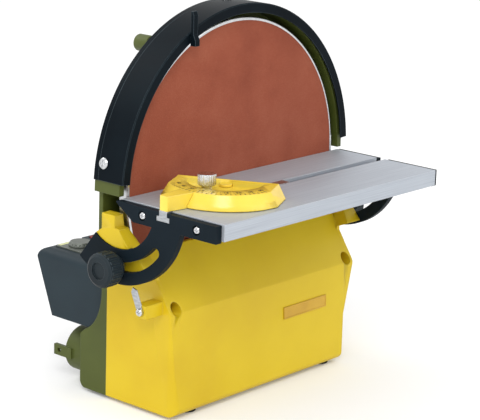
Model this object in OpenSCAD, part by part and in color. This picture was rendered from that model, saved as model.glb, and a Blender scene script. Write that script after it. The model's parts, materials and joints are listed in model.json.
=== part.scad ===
// Benchtop disc sander: a large sanding disc in a round guard, a tilting table with a mitre gauge,
// and a belt drive from a small motor behind the foot.
// X runs along the table, Y from the operator towards the machine, Z up from the bench.

/* [Disc] */
// Diameter of the sanding disc
disc_d = 250; // [244:1:256]
// Thickness of the abrasive sheet
paper_t = 1; // [0.8:0.1:1.5]
// Thickness of the disc's rim
rim_t = 8; // [7:0.5:9]
// Thickness of the disc's web inside the rim
web_t = 5; // [4:0.5:6]
// Width of the disc's thick rim
rim_w = 12; // [8:1:16]
// Radius of the disc's hub
hub_r = 17; // [15:0.5:18]
// Length of the hub behind the web
hub_l = 10; // [8:0.5:10.5]
// Radius of the disc shaft
shaft_r = 6; // [5:0.5:7]
// Height of the disc's axis above the bench
axis_z = 179; // [176:1:182]
// Radius of the hub's clamping screw
grub_r = 2; // [1.5:0.5:3]

/* [Table] */
// How much longer the table top is than the disc is wide
table_margin = 13; // [10:0.5:18]
// Depth of the table top from its rear edge to its front edge
table_depth = 105; // [100:1:115]
// Thickness of the table top
table_t = 13; // [12:0.5:14]
// Height of the table's working face above the bench
table_z = 177; // [174:1:179]
// Gap between the table's rear edge and the abrasive
disc_gap = 2; // [1.5:0.5:4]
// How far the rear edge is undercut so that the tilted table clears the disc
bevel_y = 16.6; // [16:0.2:20]
// Upright land left at the rear edge
bevel_land = 1.2; // [0.8:0.1:2]
// Skin left over the pockets in the underside
table_skin = 5; // [4:0.5:6]
// Thickness of the ribs between the pockets
rib_t = 4; // [3:0.5:6]
// Number of pockets along the underside
pocket_n = 5; // [3:1:8]
// Distance of the mitre slot's middle from the rear edge
slot_y = 47.5; // [45:0.5:50]
// Width of the mitre slot at the top
slot_neck_w = 9; // [8:0.5:10]
// Depth of the narrow part of the slot
slot_neck_d = 4; // [3:0.5:4.5]
// Width of the slot's undercut foot
slot_foot_w = 14; // [13:0.5:16]
// Depth of the slot's undercut foot
slot_foot_d = 4.5; // [4:0.5:5]

/* [Tilt] */
// Thickness of each end plate
plate_t = 6; // [5:0.5:7]
// Height of the end plate's top bar
bar_h = 13.5; // [13.5:0.25:15]
// How far the bar stays below the table's working face
bar_drop = 1; // [0.5:0.25:1.5]
// How far the bar stops short of the table's front edge
bar_short = 3; // [1:0.5:5]
// How far the bar's beak reaches behind the pivot
beak_y = 1.6; // [1:0.1:1.8]
// Inner radius of the tilt segment
seg_in_r = 39; // [38:0.5:41]
// Outer radius of the tilt segment
seg_out_r = 67; // [65:0.5:70]
// Radius of the middle of the segment's slot
seg_slot_r = 53; // [52:0.5:54]
// Tilt of the table below level, in degrees
tilt_down = 50; // [45:1:52]
// Tilt of the table above level, in degrees
tilt_up = 10; // [5:1:12]
// Angle that the segment runs on behind the knob, in degrees
seg_tail = 38; // [30:1:40]
// Radius of the tilt stud
stud_r = 3; // [2.5:0.5:4]
// Radius of the tilt stud's round head
stud_head_r = 5.5; // [5:0.5:6.5]
// Thickness of the stud's head
stud_head_t = 3; // [2:0.5:4]
// Radius of the tilt knob
knob_r = 14; // [12:0.5:16]
// Length of the tilt knob
knob_l = 18; // [16:1:22]
// Number of grip ribs on the tilt knob
knob_ribs = 20; // [12:1:24]
// Radius of the knob's washer
washer_r = 9; // [7:0.5:11]
// Thickness of the knob's washer
washer_t = 1.5; // [1:0.5:2]
// Radius of the end plate screws
end_screw_r = 2; // [1.5:0.5:2.5]
// Distance of the rear end screw from the rear edge
end_screw_1_y = 26; // [25:1:30]
// Distance of the front end screw from the rear edge
end_screw_2_y = 82; // [75:1:90]

/* [Housing] */
// How far the foot's sides lie inside the table's ends
foot_inset = 17.5; // [16:0.5:19]
// How far the right side is drawn in at its base
foot_taper = 17; // [10:1:20]
// How far the right side is drawn in where the taper ends
foot_taper_mid = 14; // [8:1:18]
// Height at which the right side's taper ends
foot_taper_z = 43; // [30:1:50]
// Height of the feet below the housing
foot_h = 3; // [2:0.5:5]
// Radius of the rubber feet
foot_r = 8; // [6:0.5:10]
// Wall of the housings
wall = 3.5; // [3:0.5:4]
// Distance of the front ridge ahead of the table's rear edge
ridge_y = 36.5; // [34:0.5:38]
// Height of the front ridge
ridge_z = 87; // [83:1:90]
// Distance of the front's lower edge ahead of the table's rear edge
front_y = 41.5; // [40:0.5:44]
// Distance of the upper lip ahead of the table's rear edge
lip_y = 6; // [5:0.5:8]
// Height of the front housing's upper lip
lip_z = 112; // [109:1:113]
// Where the front housing meets the rear housing
part_y = 34; // [33:0.5:36]
// Radius of the upright front corners
corner_r = 8; // [5:0.5:12]
// Radius of the lower edges
base_r = 6; // [4:0.5:9]
// Rear face of the rear housing's foot
rear_y = 64; // [62:1:66]
// Height of the foot of the hollow curve above the rear face
rear_z = 53; // [51:0.5:54]
// Height where the curve meets the upright back
neck_z = 90; // [86:1:94]
// Depth at which the curve ends
neck_y = 40; // [39:0.5:42]
// Gap between the disc and the round casing
dust_gap = 6; // [5:0.5:8]
// Wall of the round casing
drum_wall = 5; // [4:0.5:6]
// Front face of the casing's back wall
back_y = 22.8; // [22.5:0.1:24]
// Rear face of the casing's back wall
back_end_y = 27; // [26:0.5:30]
// Radius of the access holes for the housing screws
access_r = 5.25; // [4.5:0.25:6]
// Distance of the access holes from the foot's sides
access_inset = 8; // [7:0.5:10]
// Height of the access holes
access_z = 90; // [89:0.5:93]

/* [Guard] */
// Thickness of the guard band
band_t = 1.4; // [1:0.1:2]
// How far the band reaches ahead of the casing
band_front = 5; // [3:0.5:8]
// Where the band ends behind the casing's front edge
band_back = 22; // [18:0.5:22]
// Angle of the band's ends above the axis, in degrees
band_end = 4; // [3:0.5:10]
// Depth of the band's inward lip
lip_w = 8; // [5:0.5:9]

/* [Drive] */
// Distance of the motor axis right of the switch
motor_off = 32; // [31:0.5:34]
// Height of the motor axis
motor_z = 82; // [81.5:0.25:83]
// Radius of the motor
motor_r = 24; // [22:0.5:24.5]
// Pitch radius of the large pulley
big_r = 42; // [38:1:43]
// Pitch radius of the small pulley
small_r = 7; // [6:0.5:8]
// Thickness of the belt
belt_t = 2.5; // [2:0.25:3]
// Width of the belt
belt_w = 8; // [6:0.5:8]
// Outer radius of the disc shaft's bearings
bearing_r = 14; // [13:0.5:15]
// Width of each bearing
bearing_w = 8; // [7:0.5:8]

/* [Motor cover] */
// How far the motor cover's left face lies inside the foot's side
cover_inset = 2; // [1:0.5:3]
// Room between the motor and the cover's underside
cover_room = 0.5; // [0.4:0.1:1]
// Room between the motor and the cover's top
cover_head = 1.5; // [1:0.25:3]
// Rear of the cover at its top
cover_back = 118; // [116:1:122]
// Rear of the cover at its underside
cover_back_low = 100; // [98:0.5:104]
// Wall of the motor cover
cover_wall = 2.5; // [2:0.25:3]

/* [Dust port] */
// Outer radius of the dust spigot
port_r = 19; // [18.5:0.25:19.5]
// Bore radius of the dust spigot
port_bore_r = 17; // [16:0.25:17.5]
// Distance of the spigot from the foot's left side
port_inset = 26; // [24:0.5:28]
// Height of the spigot's axis
port_z = 25; // [23:0.25:27]
// Length of the spigot behind the housing
port_l = 25; // [20:1:28]

/* [Mitre gauge] */
// Distance of the gauge's pivot left of the middle
gauge_x = 67; // [60:1:70]
// Angle that the gauge is set to, in degrees
gauge_set = 27; // [0:1:45]
// Width of the protractor's scale round its recess
gauge_rim = 14.5; // [12:0.5:16]
// Width of the protractor's bevel
gauge_bevel = 6; // [4:0.5:8]
// Half width of the protractor
gauge_w = 40.5; // [38:0.5:42]
// Height of the protractor's top above the table
gauge_h = 12; // [10:0.5:13]
// How far the protractor's straight face lies past its pivot
gauge_face = 7; // [6:0.5:8]
// Radius of the clamp's slot
clamp_r = 22; // [20:0.5:24]
// Radius of the clamp knob
clamp_knob_r = 7.2; // [6.4:0.2:8]
// Height of the clamp knob
clamp_knob_h = 9; // [8:0.5:12]
// Length of the gauge's bar right of the pivot
gauge_bar_right = 73; // [60:1:80]
// Length of the gauge's bar left of the pivot
gauge_bar_left = 70; // [66:0.5:72]

/* [Hidden] */
$fn = 64;

// Fits and cuts: a held fit, a running fit, the gap between moving pieces, and the overrun of cuts
held = 0.03;
running = 0.05;
gap = 0.3;
over = 5;

// The box's middle in Y is the frame's origin
mid_y = (cover_back - table_depth) / 2;

// Disc stack along Y
face_y = disc_gap;
plate_y = face_y + paper_t;
rim_y = plate_y + rim_t;
web_y = plate_y + web_t;
hub_y = web_y + hub_l;
disc_r = disc_d / 2;
drum_in_r = disc_r + dust_gap;
drum_r = drum_in_r + drum_wall;
grub_y = web_y + hub_l / 2;

// Bearings, pulleys and belt along Y
boss_r = bearing_r + wall + wall / 2;
bearing_1_y = back_y + wall / 2;
land_l = 6;
bearing_2_y = bearing_1_y + bearing_w + land_l;
boss_y = bearing_2_y + bearing_w + running;
belt_base_y = 40;
pulley_y = boss_y + wall;
pulley_edge = 1;
pulley_w = belt_w + 2 * running + 2 * pulley_edge;
pulley_end = pulley_y + pulley_w;
belt_y = pulley_y + (pulley_w - belt_w) / 2;
belt_room = 3;
belt_wall = 2.5;
belt_big_r = big_r + gap + belt_t;
belt_small_r = small_r + gap + belt_t;
case_big_r = belt_big_r + belt_room + belt_wall;
case_small_r = belt_small_r + 2 * belt_room + belt_wall;
case_y = pulley_end + belt_room / 2;
belt_nip = 0.03;
case_end = case_y + belt_wall;
motor_end = cover_back_low - cover_wall - 2 * gap;
motor_shaft_r = 2.5;
nose_r = 8;

// Table and tilt
table_l = disc_d + table_margin;
half_l = table_l / 2;
plate_x = half_l + plate_t;
bar_z = table_z - bar_drop - bar_h;
slot_deep = slot_neck_d + slot_foot_d;
stud_z = table_z - seg_slot_r;
seg_slot_room = 1.2;
seg_slot_w = 2 * (stud_r + seg_slot_room);
ear_x = half_l - gap;
washer_x = plate_x + gap;
knob_x = washer_x + washer_t + gap;
knob_end = knob_x + knob_l;
stud_short = 5;
knob_hub_share = 0.75;
stud_end = knob_end - stud_short;
sweep_room = 1;
ear_line_share = 0.8;
sweep_r = norm([bevel_y + sweep_room, bar_h + bar_drop]) + sweep_room;
ear_line = max(table_t, bar_h + bar_drop) + sweep_room * ear_line_share;
ear_top = 13.5;
ear_y_top = 18;
ear_y_front = 9;
ear_notch_y = 4;
ear_flare_z = 34;
ear_flare_y = 24;
ear_flare_rise = 8;
ear_y_back = back_y - gap;
ear_drop = 74;
ear_foot = table_z - ear_drop;
ear_reach_r = seg_out_r - sweep_room;
guide_x = plate_x - sweep_room;
disc_room = 3.3;
disc_clear = disc_r + disc_room;
beak_room = beak_y + gap;

// Foot
foot_w = half_l - foot_inset;
foot_taper_w = foot_w - foot_taper;
foot_taper_mid_w = foot_w - foot_taper_mid;
access_x = foot_w - access_inset;
rear_step = 4;

// Motor cover across: dial, switch and motor follow from its left face
cover_left = foot_w - cover_inset;
dial_inset = 26;
dial_x = cover_left - dial_inset;
rocker_off = 24;
rocker_x = dial_x - rocker_off;
motor_x = rocker_x - motor_off;
motor_side = 4;
cover_right = motor_x - motor_r - motor_side;
cover_z0 = motor_z - motor_r - cover_wall - cover_room;
cover_z1 = motor_z + motor_r + cover_wall + cover_head;

// Front housing details
boss_screw_r = 7.5;
house_screw_r = 2;
house_head_r = 4.2;
house_head_t = 3;
house_head_y = 6;
house_screw_in = 10;
house_screw_end = part_y + house_screw_in;
base_z = foot_h;
marker_y = 22;
marker_below = 19;
marker_z = table_z - seg_out_r - marker_below;
marker_w = 11;
marker_out = 1;
marker_x = half_l + marker_out;
marker_t = 1.2;
marker_l = 20;
marker_strip_w = 6;
marker_lean = 24;
marker_screw_r = 1.6;
marker_head_r = 3.2;
marker_head_t = 1.8;
marker_screw_l = 8;
plate_l = 55;
plate_h = 10;
plate_mid_x = 48;
plate_drop = 22;
badge_t = 0.8;

// Feet under the base
feet_inset = 30;
feet_x = foot_w - feet_inset;
feet_front_y = 27;
feet_rear_y = 52;

// Brake behind the disc
brake_x = 58;
brake_from_axis = disc_r - rim_w / 2;
brake_z = axis_z + sqrt(brake_from_axis * brake_from_axis - brake_x * brake_x);
brake_r = 4.5;
brake_wall = 2.5;
brake_boss_y = 40;
brake_travel = 3.5;
brake_pad_t = 4;
brake_pad_r = 6;
brake_flange_r = 6.5;
brake_flange_t = 3;
brake_end_y = 58;
spring_room = 1.6;
spring_wire_r = 0.5;
spring_turns = 5;
spring_sides = 6;
spring_rings = 8;
spring_r = brake_r + spring_room / 2 + spring_wire_r / 2;
spring_y0 = brake_boss_y + spring_wire_r + 2 * running;
spring_y1 = brake_end_y - brake_flange_t - spring_wire_r - 2 * running;

// Guard screws: where they stand round the band, in degrees
screw_angles = [9.5, 90, 170.5];
band_screw_y = 17;
band_screw_r = 1.7;
band_head_r = 4;
band_head_t = 2;
band_r0 = drum_r + gap;
band_r1 = band_r0 + band_t;
clip_x = 63;
clip_w = 5;
clip_t = 3;
clip_down = 12.4;
clip_up = 14.6;
clip_mid_z = axis_z + sqrt(band_r1 * band_r1 - clip_x * clip_x);
clip_z0 = clip_mid_z - clip_down;
clip_z1 = clip_mid_z + clip_up;
clip_tip_t = 2.2;
clip_tip_h = 9;

// Motor cover and controls
cover_front = part_y + cover_wall / 2;
cover_top_r = 8;
panel_t = 1.2;
panel_in = 4;
panel_y0 = case_end + cover_wall;
panel_y1 = cover_back - cover_top_r - panel_t;
dial_y = 94;
dial_r = 10;
dial_h = 3.5;
dial_ribs = 16;
dial_top_share = 0.85;
dial_stem_r = 3;
dial_stem_l = 6;
rocker_y = 94;
rocker_w = 13;
rocker_l = 19;
rocker_h = 5;
rocker_swing = 10;
rocker_pin_r = 1.5;
switch_wall = 1.6;
switch_h = 18;
switch_rim = 2;
board_inset = 8;
board_x = cover_left - board_inset;
board_t = 1.6;
board_y0 = 70;
board_y1 = 96;
board_z0 = 66;
board_z1 = 96;
post_r = 2.5;
cover_screw_r = 1.7;
cover_head_r = 3.4;
cover_head_t = 2;
cover_screw_in = 9;
cover_screw_rise = 8;
cover_screw_z = cover_z0 + cover_screw_rise;
cover_screw_xs = [-cover_left + cover_screw_in, -cover_right - cover_screw_in];
cover_screw_l = 9;
cover_screw_y = column_y(cover_screw_z);

// Dust spigot
port_x = foot_w - port_inset;
port_in = 12;
port_step = 1.5;
lug_w = 9;
lug_l = 12;
lug_out = 1.5;
lug_hole_r = 2;

// Mitre gauge
bar_foot_w = slot_foot_w - 2 * gap;
bar_neck_w = slot_neck_w - 2 * gap;
bar_foot_z0 = table_z - slot_deep + gap;
bar_foot_z1 = table_z - slot_neck_d - gap;
bar_top = table_z + gap;
gauge_z0 = bar_top + gap;
gauge_z1 = table_z + gauge_h;
pivot_r = 3;
pivot_head_r = 5;
pivot_head_t = 2;
clamp_stud_r = 2;
recess_room = 8.5;
recess_r = clamp_r + recess_room;
recess_d = 4;
recess_edge = 6;
gauge_top_r = recess_r + gauge_rim;
gauge_r = gauge_top_r + gauge_bevel;
gauge_base_share = 1 / 8;
clamp_slot_w = 2 * clamp_stud_r + 2 * gap;
clamp_half = 62;
clamp_z = gauge_z1 - recess_d + gap;
clamp_stem_r = 4.2;
clamp_stem_h = 4.5;
clamp_dome = 0.8;
clamp_flutes = 24;
flute_r = 0.6;
index_end_x = gauge_x + gauge_bar_left;
index_end_w = 8;
index_w = 15;
index_r = 1.2;
index_over = 1;

// Colours
yellow = "#dcc02e";
olive = "#626a32";
black = "#222e36";
steel = "#c4c8cc";
alloy = "#b9c0c9";

function polar(r, a) = [r * cos(a), r * sin(a)];
function arc(c, rx, ry, a0, a1, n) = [for (i = [0:n]) let (a = a0 + (a1 - a0) * i / n)
    [c[0] + rx * cos(a), c[1] + ry * sin(a)]];

module seat() {
    translate([0, -mid_y, 0])
        children();
}

// Draws a (y, z) outline from x0 to x1
module along_x(x0, x1) {
    translate([x0, 0, 0])
        rotate([90, 0, 90])
            linear_extrude(x1 - x0)
                children();
}

// Draws an (x, z) outline from y0 to y1
module along_y(y0, y1) {
    translate([0, y1, 0])
        rotate([90, 0, 0])
            linear_extrude(y1 - y0)
                children();
}

module rod_x(y, z, r, x0, x1) {
    translate([x0, y, z])
        rotate([0, 90, 0])
            cylinder(r = r, h = x1 - x0);
}

module rod_y(x, z, r, y0, y1) {
    translate([x, y1, z])
        rotate([90, 0, 0])
            cylinder(r = r, h = y1 - y0);
}

module rod_z(x, y, r, z0, z1) {
    translate([x, y, z0])
        cylinder(r = r, h = z1 - z0);
}

module block(x0, x1, y0, y1, z0, z1) {
    translate([x0, y0, z0])
        cube([x1 - x0, y1 - y0, z1 - z0]);
}

// Turns a (radius, y) profile about an axis along Y
module turned(x, z) {
    translate([x, 0, z])
        rotate([-90, 0, 0])
            rotate_extrude()
                children();
}

module sides() {
    children();
    mirror([1, 0, 0])
        children();
}

// Closed outline of a belt run at two radii
module belt_outline(big, small) {
    run = norm([motor_x, axis_z - motor_z]);
    way = atan2(motor_z - axis_z, -motor_x);
    lean = acos((big - small) / run);
    far = [-motor_x, motor_z];
    near = [0, axis_z];
    translate(near)
        circle(big);
    translate(far)
        circle(small);
    polygon([
        near + polar(big - belt_nip, way - lean),
        far + polar(small - belt_nip, way - lean),
        far + polar(small - belt_nip, way + lean),
        near + polar(big - belt_nip, way + lean)
    ]);
}

// Front view of the foot: upright on the left, tapering on the right
module foot_front(inset, z0, z1) {
    polygon([
        [-foot_w + inset, z0],
        [-foot_w + inset, z1],
        [foot_w - inset, z1],
        [foot_w - inset, ridge_z],
        [foot_taper_mid_w - inset, foot_taper_z],
        [foot_taper_w - inset, z0]
    ]);
}

// Plan of the foot with round front corners
module foot_plan(inset, y0, y1, r) {
    translate([-foot_w + inset, y0 + r])
        square([2 * (foot_w - inset), y1 - y0 - r]);
    translate([-foot_w + inset + r, y0])
        square([2 * (foot_w - inset - r), y1 - y0]);
    for (side = [-1, 1])
        translate([side * (foot_w - inset - r), y0 + r])
            circle(r);
}

module front_side() {
    polygon(concat(
        [[part_y, base_z], [part_y, lip_z], [-lip_y, lip_z], [-ridge_y, ridge_z]],
        arc([-front_y + base_r, base_z + base_r], base_r, base_r, 180, 270, 6)
    ));
}

module front_hollow() {
    polygon([
        [part_y + over, base_z + wall],
        [part_y + over, lip_z + over],
        [-lip_y + wall + over, lip_z + over],
        [-lip_y + wall, lip_z],
        [-ridge_y + wall, ridge_z],
        [-front_y + wall, base_z + wall]
    ]);
}

// A point at radius r on the underside of the table tilted fully down, with room to spare
function sweep_point(r) = polar(ear_line, tilt_down - 90)
    + polar(sqrt(r * r - ear_line * ear_line), 180 + tilt_down);

// Side view of the ear that carries the tilt stud, cut back where the tilting table sweeps
module ear_side() {
    in = sweep_point(sweep_r + sweep_room);
    out = sweep_point(ear_reach_r);
    translate([0, table_z])
        polygon([
            [ear_y_top, -ear_top],
            [-ear_y_front / 3, -ear_top],
            [in[0], in[1]],
            [out[0], out[1]],
            [out[0], ear_foot - table_z],
            [ear_y_back, ear_foot - table_z],
            [ear_y_back, -ear_flare_z]
        ]);
}

// Side view of the boss that the segment turns round
module boss_side() {
    in = sweep_point(sweep_r + sweep_room);
    out = sweep_point(seg_in_r);
    translate([0, table_z - gap])
        polygon([
            [ear_y_top, -ear_top],
            [-ear_y_front / 3, -ear_top],
            [in[0], in[1]],
            [out[0], out[1]],
            [out[0], -seg_in_r],
            [ear_flare_y, -seg_in_r],
            [ear_flare_y, -ear_flare_z + ear_flare_rise / 2],
            [ear_y_top, -ear_flare_z + ear_flare_rise]
        ]);
}

module ear() {
    difference() {
        union() {
            along_x(foot_w - wall, ear_x)
                ear_side();
            intersection() {
                rod_x(0, table_z, seg_in_r - gap, ear_x - wall, guide_x);
                along_x(ear_x - wall, guide_x)
                    boss_side();
            }
        }
        intersection() {
            rod_x(0, table_z, sweep_r, 0, plate_x + over);
            block(0, plate_x + over, -sweep_r, ear_notch_y, 0, table_z + over);
        }
        rod_y(0, axis_z, disc_clear, -table_depth, part_y + over);
        rod_x(0, stud_z, stud_r + held, 0, plate_x + over);
        rod_x(0, stud_z, stud_head_r + held, 0, ear_x - wall - stud_head_t);
    }
}

module front_housing() {
    color(yellow)
        seat()
            difference() {
                union() {
                    difference() {
                        intersection() {
                            along_x(-foot_w, foot_w)
                                front_side();
                            along_y(-front_y, part_y)
                                foot_front(0, base_z, lip_z);
                            translate([0, 0, base_z])
                                linear_extrude(lip_z)
                                    foot_plan(0, -front_y, part_y, corner_r);
                        }
                        intersection() {
                            along_x(-foot_w, foot_w)
                                front_hollow();
                            along_y(-front_y, part_y + over)
                                foot_front(wall, base_z, lip_z + over);
                        }
                    }
                    sides()
                        ear();
                    for (side = [-1, 1])
                        intersection() {
                            rod_y(side * access_x, access_z, boss_screw_r, -ridge_y, part_y);
                            along_x(-foot_w, foot_w)
                                front_side();
                            along_y(-front_y, part_y)
                                foot_front(0, base_z, lip_z);
                        }
                    block(-marker_x, -foot_w + wall, -marker_y - marker_w / 2, -marker_y + marker_w / 2,
                        marker_z - marker_w / 2, marker_z + marker_w / 2);
                }
                for (side = [-1, 1]) {
                    rod_y(side * access_x, access_z, access_r, -front_y, house_head_y);
                    rod_y(side * access_x, access_z, house_screw_r + held, 0, part_y + over);
                }
                rod_x(-marker_y, marker_z, marker_screw_r + held,
                    -marker_x - over, -marker_x + marker_screw_l);
            }
}

// Depth of the hollow curve at a height
function column_y(z) = rear_y - (rear_y - neck_y) * sqrt(1 - pow((neck_z - z) / (neck_z - rear_z), 2));

module column_side(inset) {
    polygon(concat(
        [[part_y + inset, base_z + inset]],
        arc([rear_y - base_r, base_z + base_r], base_r - inset / 2, base_r - inset / 2, -90, 0, 6),
        [[rear_y - inset, rear_z - rear_step]],
        arc([rear_y - inset, neck_z], rear_y - neck_y, neck_z - rear_z + inset, 255, 180, 10),
        [[part_y + inset, neck_z - inset]]
    ));
}

module drum_outline(r) {
    translate([0, axis_z])
        circle(r);
}

module rear_housing() {
    port_hole_r = port_r + held;
    color(olive)
        seat()
            difference() {
                union() {
                    difference() {
                        along_y(0, back_end_y)
                            drum_outline(drum_r);
                        along_y(-over, back_y)
                            drum_outline(drum_in_r);
                    }
                    along_y(back_y, back_end_y)
                        translate([-foot_w, lip_z + gap])
                            square([2 * foot_w, axis_z - lip_z]);
                    along_y(back_end_y - wall, belt_base_y)
                        belt_outline(case_big_r, case_small_r);
                    intersection() {
                        along_x(-foot_w, foot_w)
                            column_side(0);
                        along_y(part_y, rear_y)
                            foot_front(0, base_z, lip_z);
                    }
                    along_y(back_y, neck_y)
                        translate([-foot_w, neck_z])
                            square([2 * foot_w, lip_z + wall - neck_z]);
                    rod_y(0, axis_z, boss_r, back_y, boss_y);
                    rod_y(-brake_x, brake_z, brake_r + brake_wall, back_y, brake_boss_y);
                }
                block(-foot_w - over, foot_w + over, -over, part_y, 0, lip_z + gap);
                sides()
                    block(ear_x - gap, plate_x + over, -over, rear_y + over, 0, table_z + beak_room);
                sides()
                    block(foot_w - wall - gap, plate_x + over, -over, back_y, 0, table_z + beak_room);
                along_y(belt_base_y, rear_y + over)
                    belt_outline(case_big_r + gap, case_small_r + gap);
                rod_y(0, axis_z, bearing_r + held, bearing_1_y, bearing_1_y + bearing_w);
                rod_y(0, axis_z, bearing_r + held, bearing_2_y, boss_y + over);
                rod_y(0, axis_z, bearing_r - wall, back_y - over, boss_y + over);
                rod_y(-motor_x, motor_z, motor_r + gap, case_end, rear_y + over);
                rod_y(-brake_x, brake_z, brake_r + running, 0, brake_boss_y + over);
                rod_y(-port_x, port_z, port_hole_r, rear_y - port_in, rear_y + over);
                rod_y(-port_x, port_z, port_bore_r - port_step, 0, rear_y);
                for (side = [-1, 1])
                    rod_y(side * access_x, access_z, house_screw_r + held, 0, house_screw_end + gap);
                for (a = screw_angles)
                    translate([0, band_screw_y, axis_z])
                        rotate([0, 90 - a, 0])
                            translate([0, 0, drum_in_r - over])
                                cylinder(r = band_screw_r + held, h = drum_wall + 2 * over);
                for (x = cover_screw_xs)
                    rod_y(x, cover_screw_z, cover_screw_r + held,
                        cover_screw_y - cover_screw_l, rear_y + over);
            }
}

module belt_cover() {
    color(olive)
        seat()
            difference() {
                along_y(belt_base_y, case_end)
                    belt_outline(case_big_r, case_small_r);
                along_y(belt_base_y - over, case_y)
                    belt_outline(case_big_r - belt_wall, case_small_r - belt_wall);
                rod_y(-motor_x, motor_z, nose_r, case_y - over, case_end + over);
            }
}

module cover_side(inset) {
    top = cover_z1 - inset;
    back = cover_back - inset;
    polygon(concat(
        [[cover_front + inset, cover_z0 + inset], [cover_back_low - inset, cover_z0 + inset]],
        arc([back - cover_top_r, top - cover_top_r], cover_top_r, cover_top_r, 0, 90, 6),
        [[cover_front + inset, top]]
    ));
}

module cover_front_view(inset) {
    w = cover_left - cover_right - 2 * inset;
    translate([-cover_left + inset, cover_z0])
        square([w, cover_z1 - cover_z0 - cover_top_r]);
    translate([-cover_left + inset + cover_top_r, cover_z0])
        square([w - 2 * cover_top_r, cover_z1 - cover_z0]);
    for (x = [-cover_left + inset + cover_top_r, -cover_right - inset - cover_top_r])
        translate([x, cover_z1 - cover_top_r])
            circle(cover_top_r);
}

// Cut for the switch through the cover's top and the panel
module switch_hole(z0) {
    half_w = rocker_w / 2 + switch_wall + held;
    half_l = rocker_l / 2 + switch_wall + held;
    block(-rocker_x - half_w, -rocker_x + half_w, rocker_y - half_l, rocker_y + half_l, z0, cover_z1 + over);
}

module motor_cover() {
    color(black)
        seat()
            difference() {
                union() {
                    difference() {
                        intersection() {
                            along_x(-cover_left, -cover_right)
                                cover_side(0);
                            along_y(cover_front, cover_back)
                                cover_front_view(0);
                        }
                        intersection() {
                            along_x(-cover_left, -cover_right)
                                cover_side(cover_wall);
                            along_y(cover_front, cover_back)
                                cover_front_view(cover_wall);
                        }
                    }
                    for (y = [board_y0 + post_r, board_y1 - post_r])
                        rod_x(y, (board_z0 + board_z1) / 2, post_r,
                            -cover_left + cover_wall / 2, -board_x);
                    for (x = cover_screw_xs)
                        rod_y(x, cover_screw_z, cover_head_r + cover_wall,
                            cover_screw_y, cover_screw_y + 2 * cover_screw_l);
                }
                along_x(-foot_w - over, foot_w + over)
                    column_side(-gap);
                block(-foot_w - over, foot_w + over, -over, neck_y + gap, 0, cover_z1 + over);
                along_y(-over, case_end)
                    belt_outline(case_big_r + gap, case_small_r + gap);
                rod_y(-motor_x, motor_z, motor_r + gap, case_end, motor_end + gap);
                switch_hole(cover_z1 - 2 * cover_wall);
                rod_z(-dial_x, dial_y, dial_stem_r + running, cover_z1 - 2 * cover_wall, cover_z1 + over);
                for (x = cover_screw_xs) {
                    rod_y(x, cover_screw_z, cover_screw_r + held, cover_screw_y - over, cover_back + over);
                    rod_y(x, cover_screw_z, cover_head_r + held,
                        cover_screw_y + cover_screw_l, cover_back + over);
                }
            }
}

module control_panel() {
    color(steel)
        seat()
            difference() {
                block(-cover_left + cover_top_r + panel_in, -cover_right - cover_top_r - panel_in,
                    panel_y0, panel_y1, cover_z1, cover_z1 + panel_t);
                switch_hole(cover_z1 - over);
                rod_z(-dial_x, dial_y, dial_stem_r + running, cover_z1 - over, cover_z1 + over);
            }
}

module switch_body() {
    x0 = -rocker_x - rocker_w / 2;
    x1 = -rocker_x + rocker_w / 2;
    y0 = rocker_y - rocker_l / 2;
    y1 = rocker_y + rocker_l / 2;
    top = cover_z1 + panel_t;
    color(black)
        seat()
            difference() {
                union() {
                    block(x0 - switch_wall, x1 + switch_wall, y0 - switch_wall, y1 + switch_wall,
                        top - switch_h, top);
                    block(x0 - switch_wall - switch_rim, x1 + switch_wall + switch_rim,
                        y0 - switch_wall - switch_rim, y1 + switch_wall + switch_rim, top, top + switch_wall);
                }
                block(x0, x1, y0, y1, top - rocker_h - 2 * switch_wall, top + over);
                rod_x(rocker_y, top - switch_wall, rocker_pin_r + running, x0 - switch_wall / 2,
                    x1 + switch_wall / 2);
            }
}

module switch_rocker() {
    w = rocker_w - 2 * gap;
    l = rocker_l - 6 * gap;
    pin_z = cover_z1 + panel_t - switch_wall;
    pin_half = rocker_w / 2 + switch_wall / 4;
    color("#8c2a22")
        seat()
            translate([-rocker_x, rocker_y, pin_z])
                rotate([rocker_swing, 0, 0]) {
                    along_x(-w / 2, w / 2)
                        polygon([
                            [-l / 2, rocker_h * 2 / 3],
                            [0, rocker_h / 3],
                            [l / 2, rocker_h * 2 / 3],
                            [l / 3, -rocker_h / 2],
                            [-l / 3, -rocker_h / 2]
                        ]);
                    rod_x(0, 0, rocker_pin_r, -pin_half, pin_half);
                }
}

module speed_dial() {
    top = cover_z1 + panel_t + gap;
    color(black)
        seat() {
            rod_z(-dial_x, dial_y, dial_stem_r, top - dial_stem_l, top + dial_h / 2);
            difference() {
                translate([-dial_x, dial_y, top])
                    rotate_extrude()
                        polygon([
                            [0, 0],
                            [dial_r, 0],
                            [dial_r, dial_h / 3],
                            [dial_r * dial_top_share, dial_h],
                            [0, dial_h]
                        ]);
                for (i = [1:dial_ribs])
                    translate([-dial_x, dial_y, top + dial_h / 3])
                        rotate([0, 0, 360 * i / dial_ribs])
                            translate([dial_r, 0, 0])
                                cylinder(r = dial_r / 10, h = dial_h);
            }
        }
}

module circuit_board() {
    mid_z = (board_z0 + board_z1) / 2;
    part_l = (board_y1 - board_y0) / 4;
    color("#2f6b3c")
        seat() {
            block(-board_x, -board_x + board_t, board_y0, board_y1, board_z0, board_z1);
            block(-board_x + board_t, -board_x + 5 * board_t, board_y0 + part_l, board_y0 + 2 * part_l,
                board_z0 + part_l, mid_z);
            rod_x(board_y1 - part_l, mid_z, part_l / 2, -board_x + board_t, -board_x + 5 * board_t);
        }
}

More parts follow.
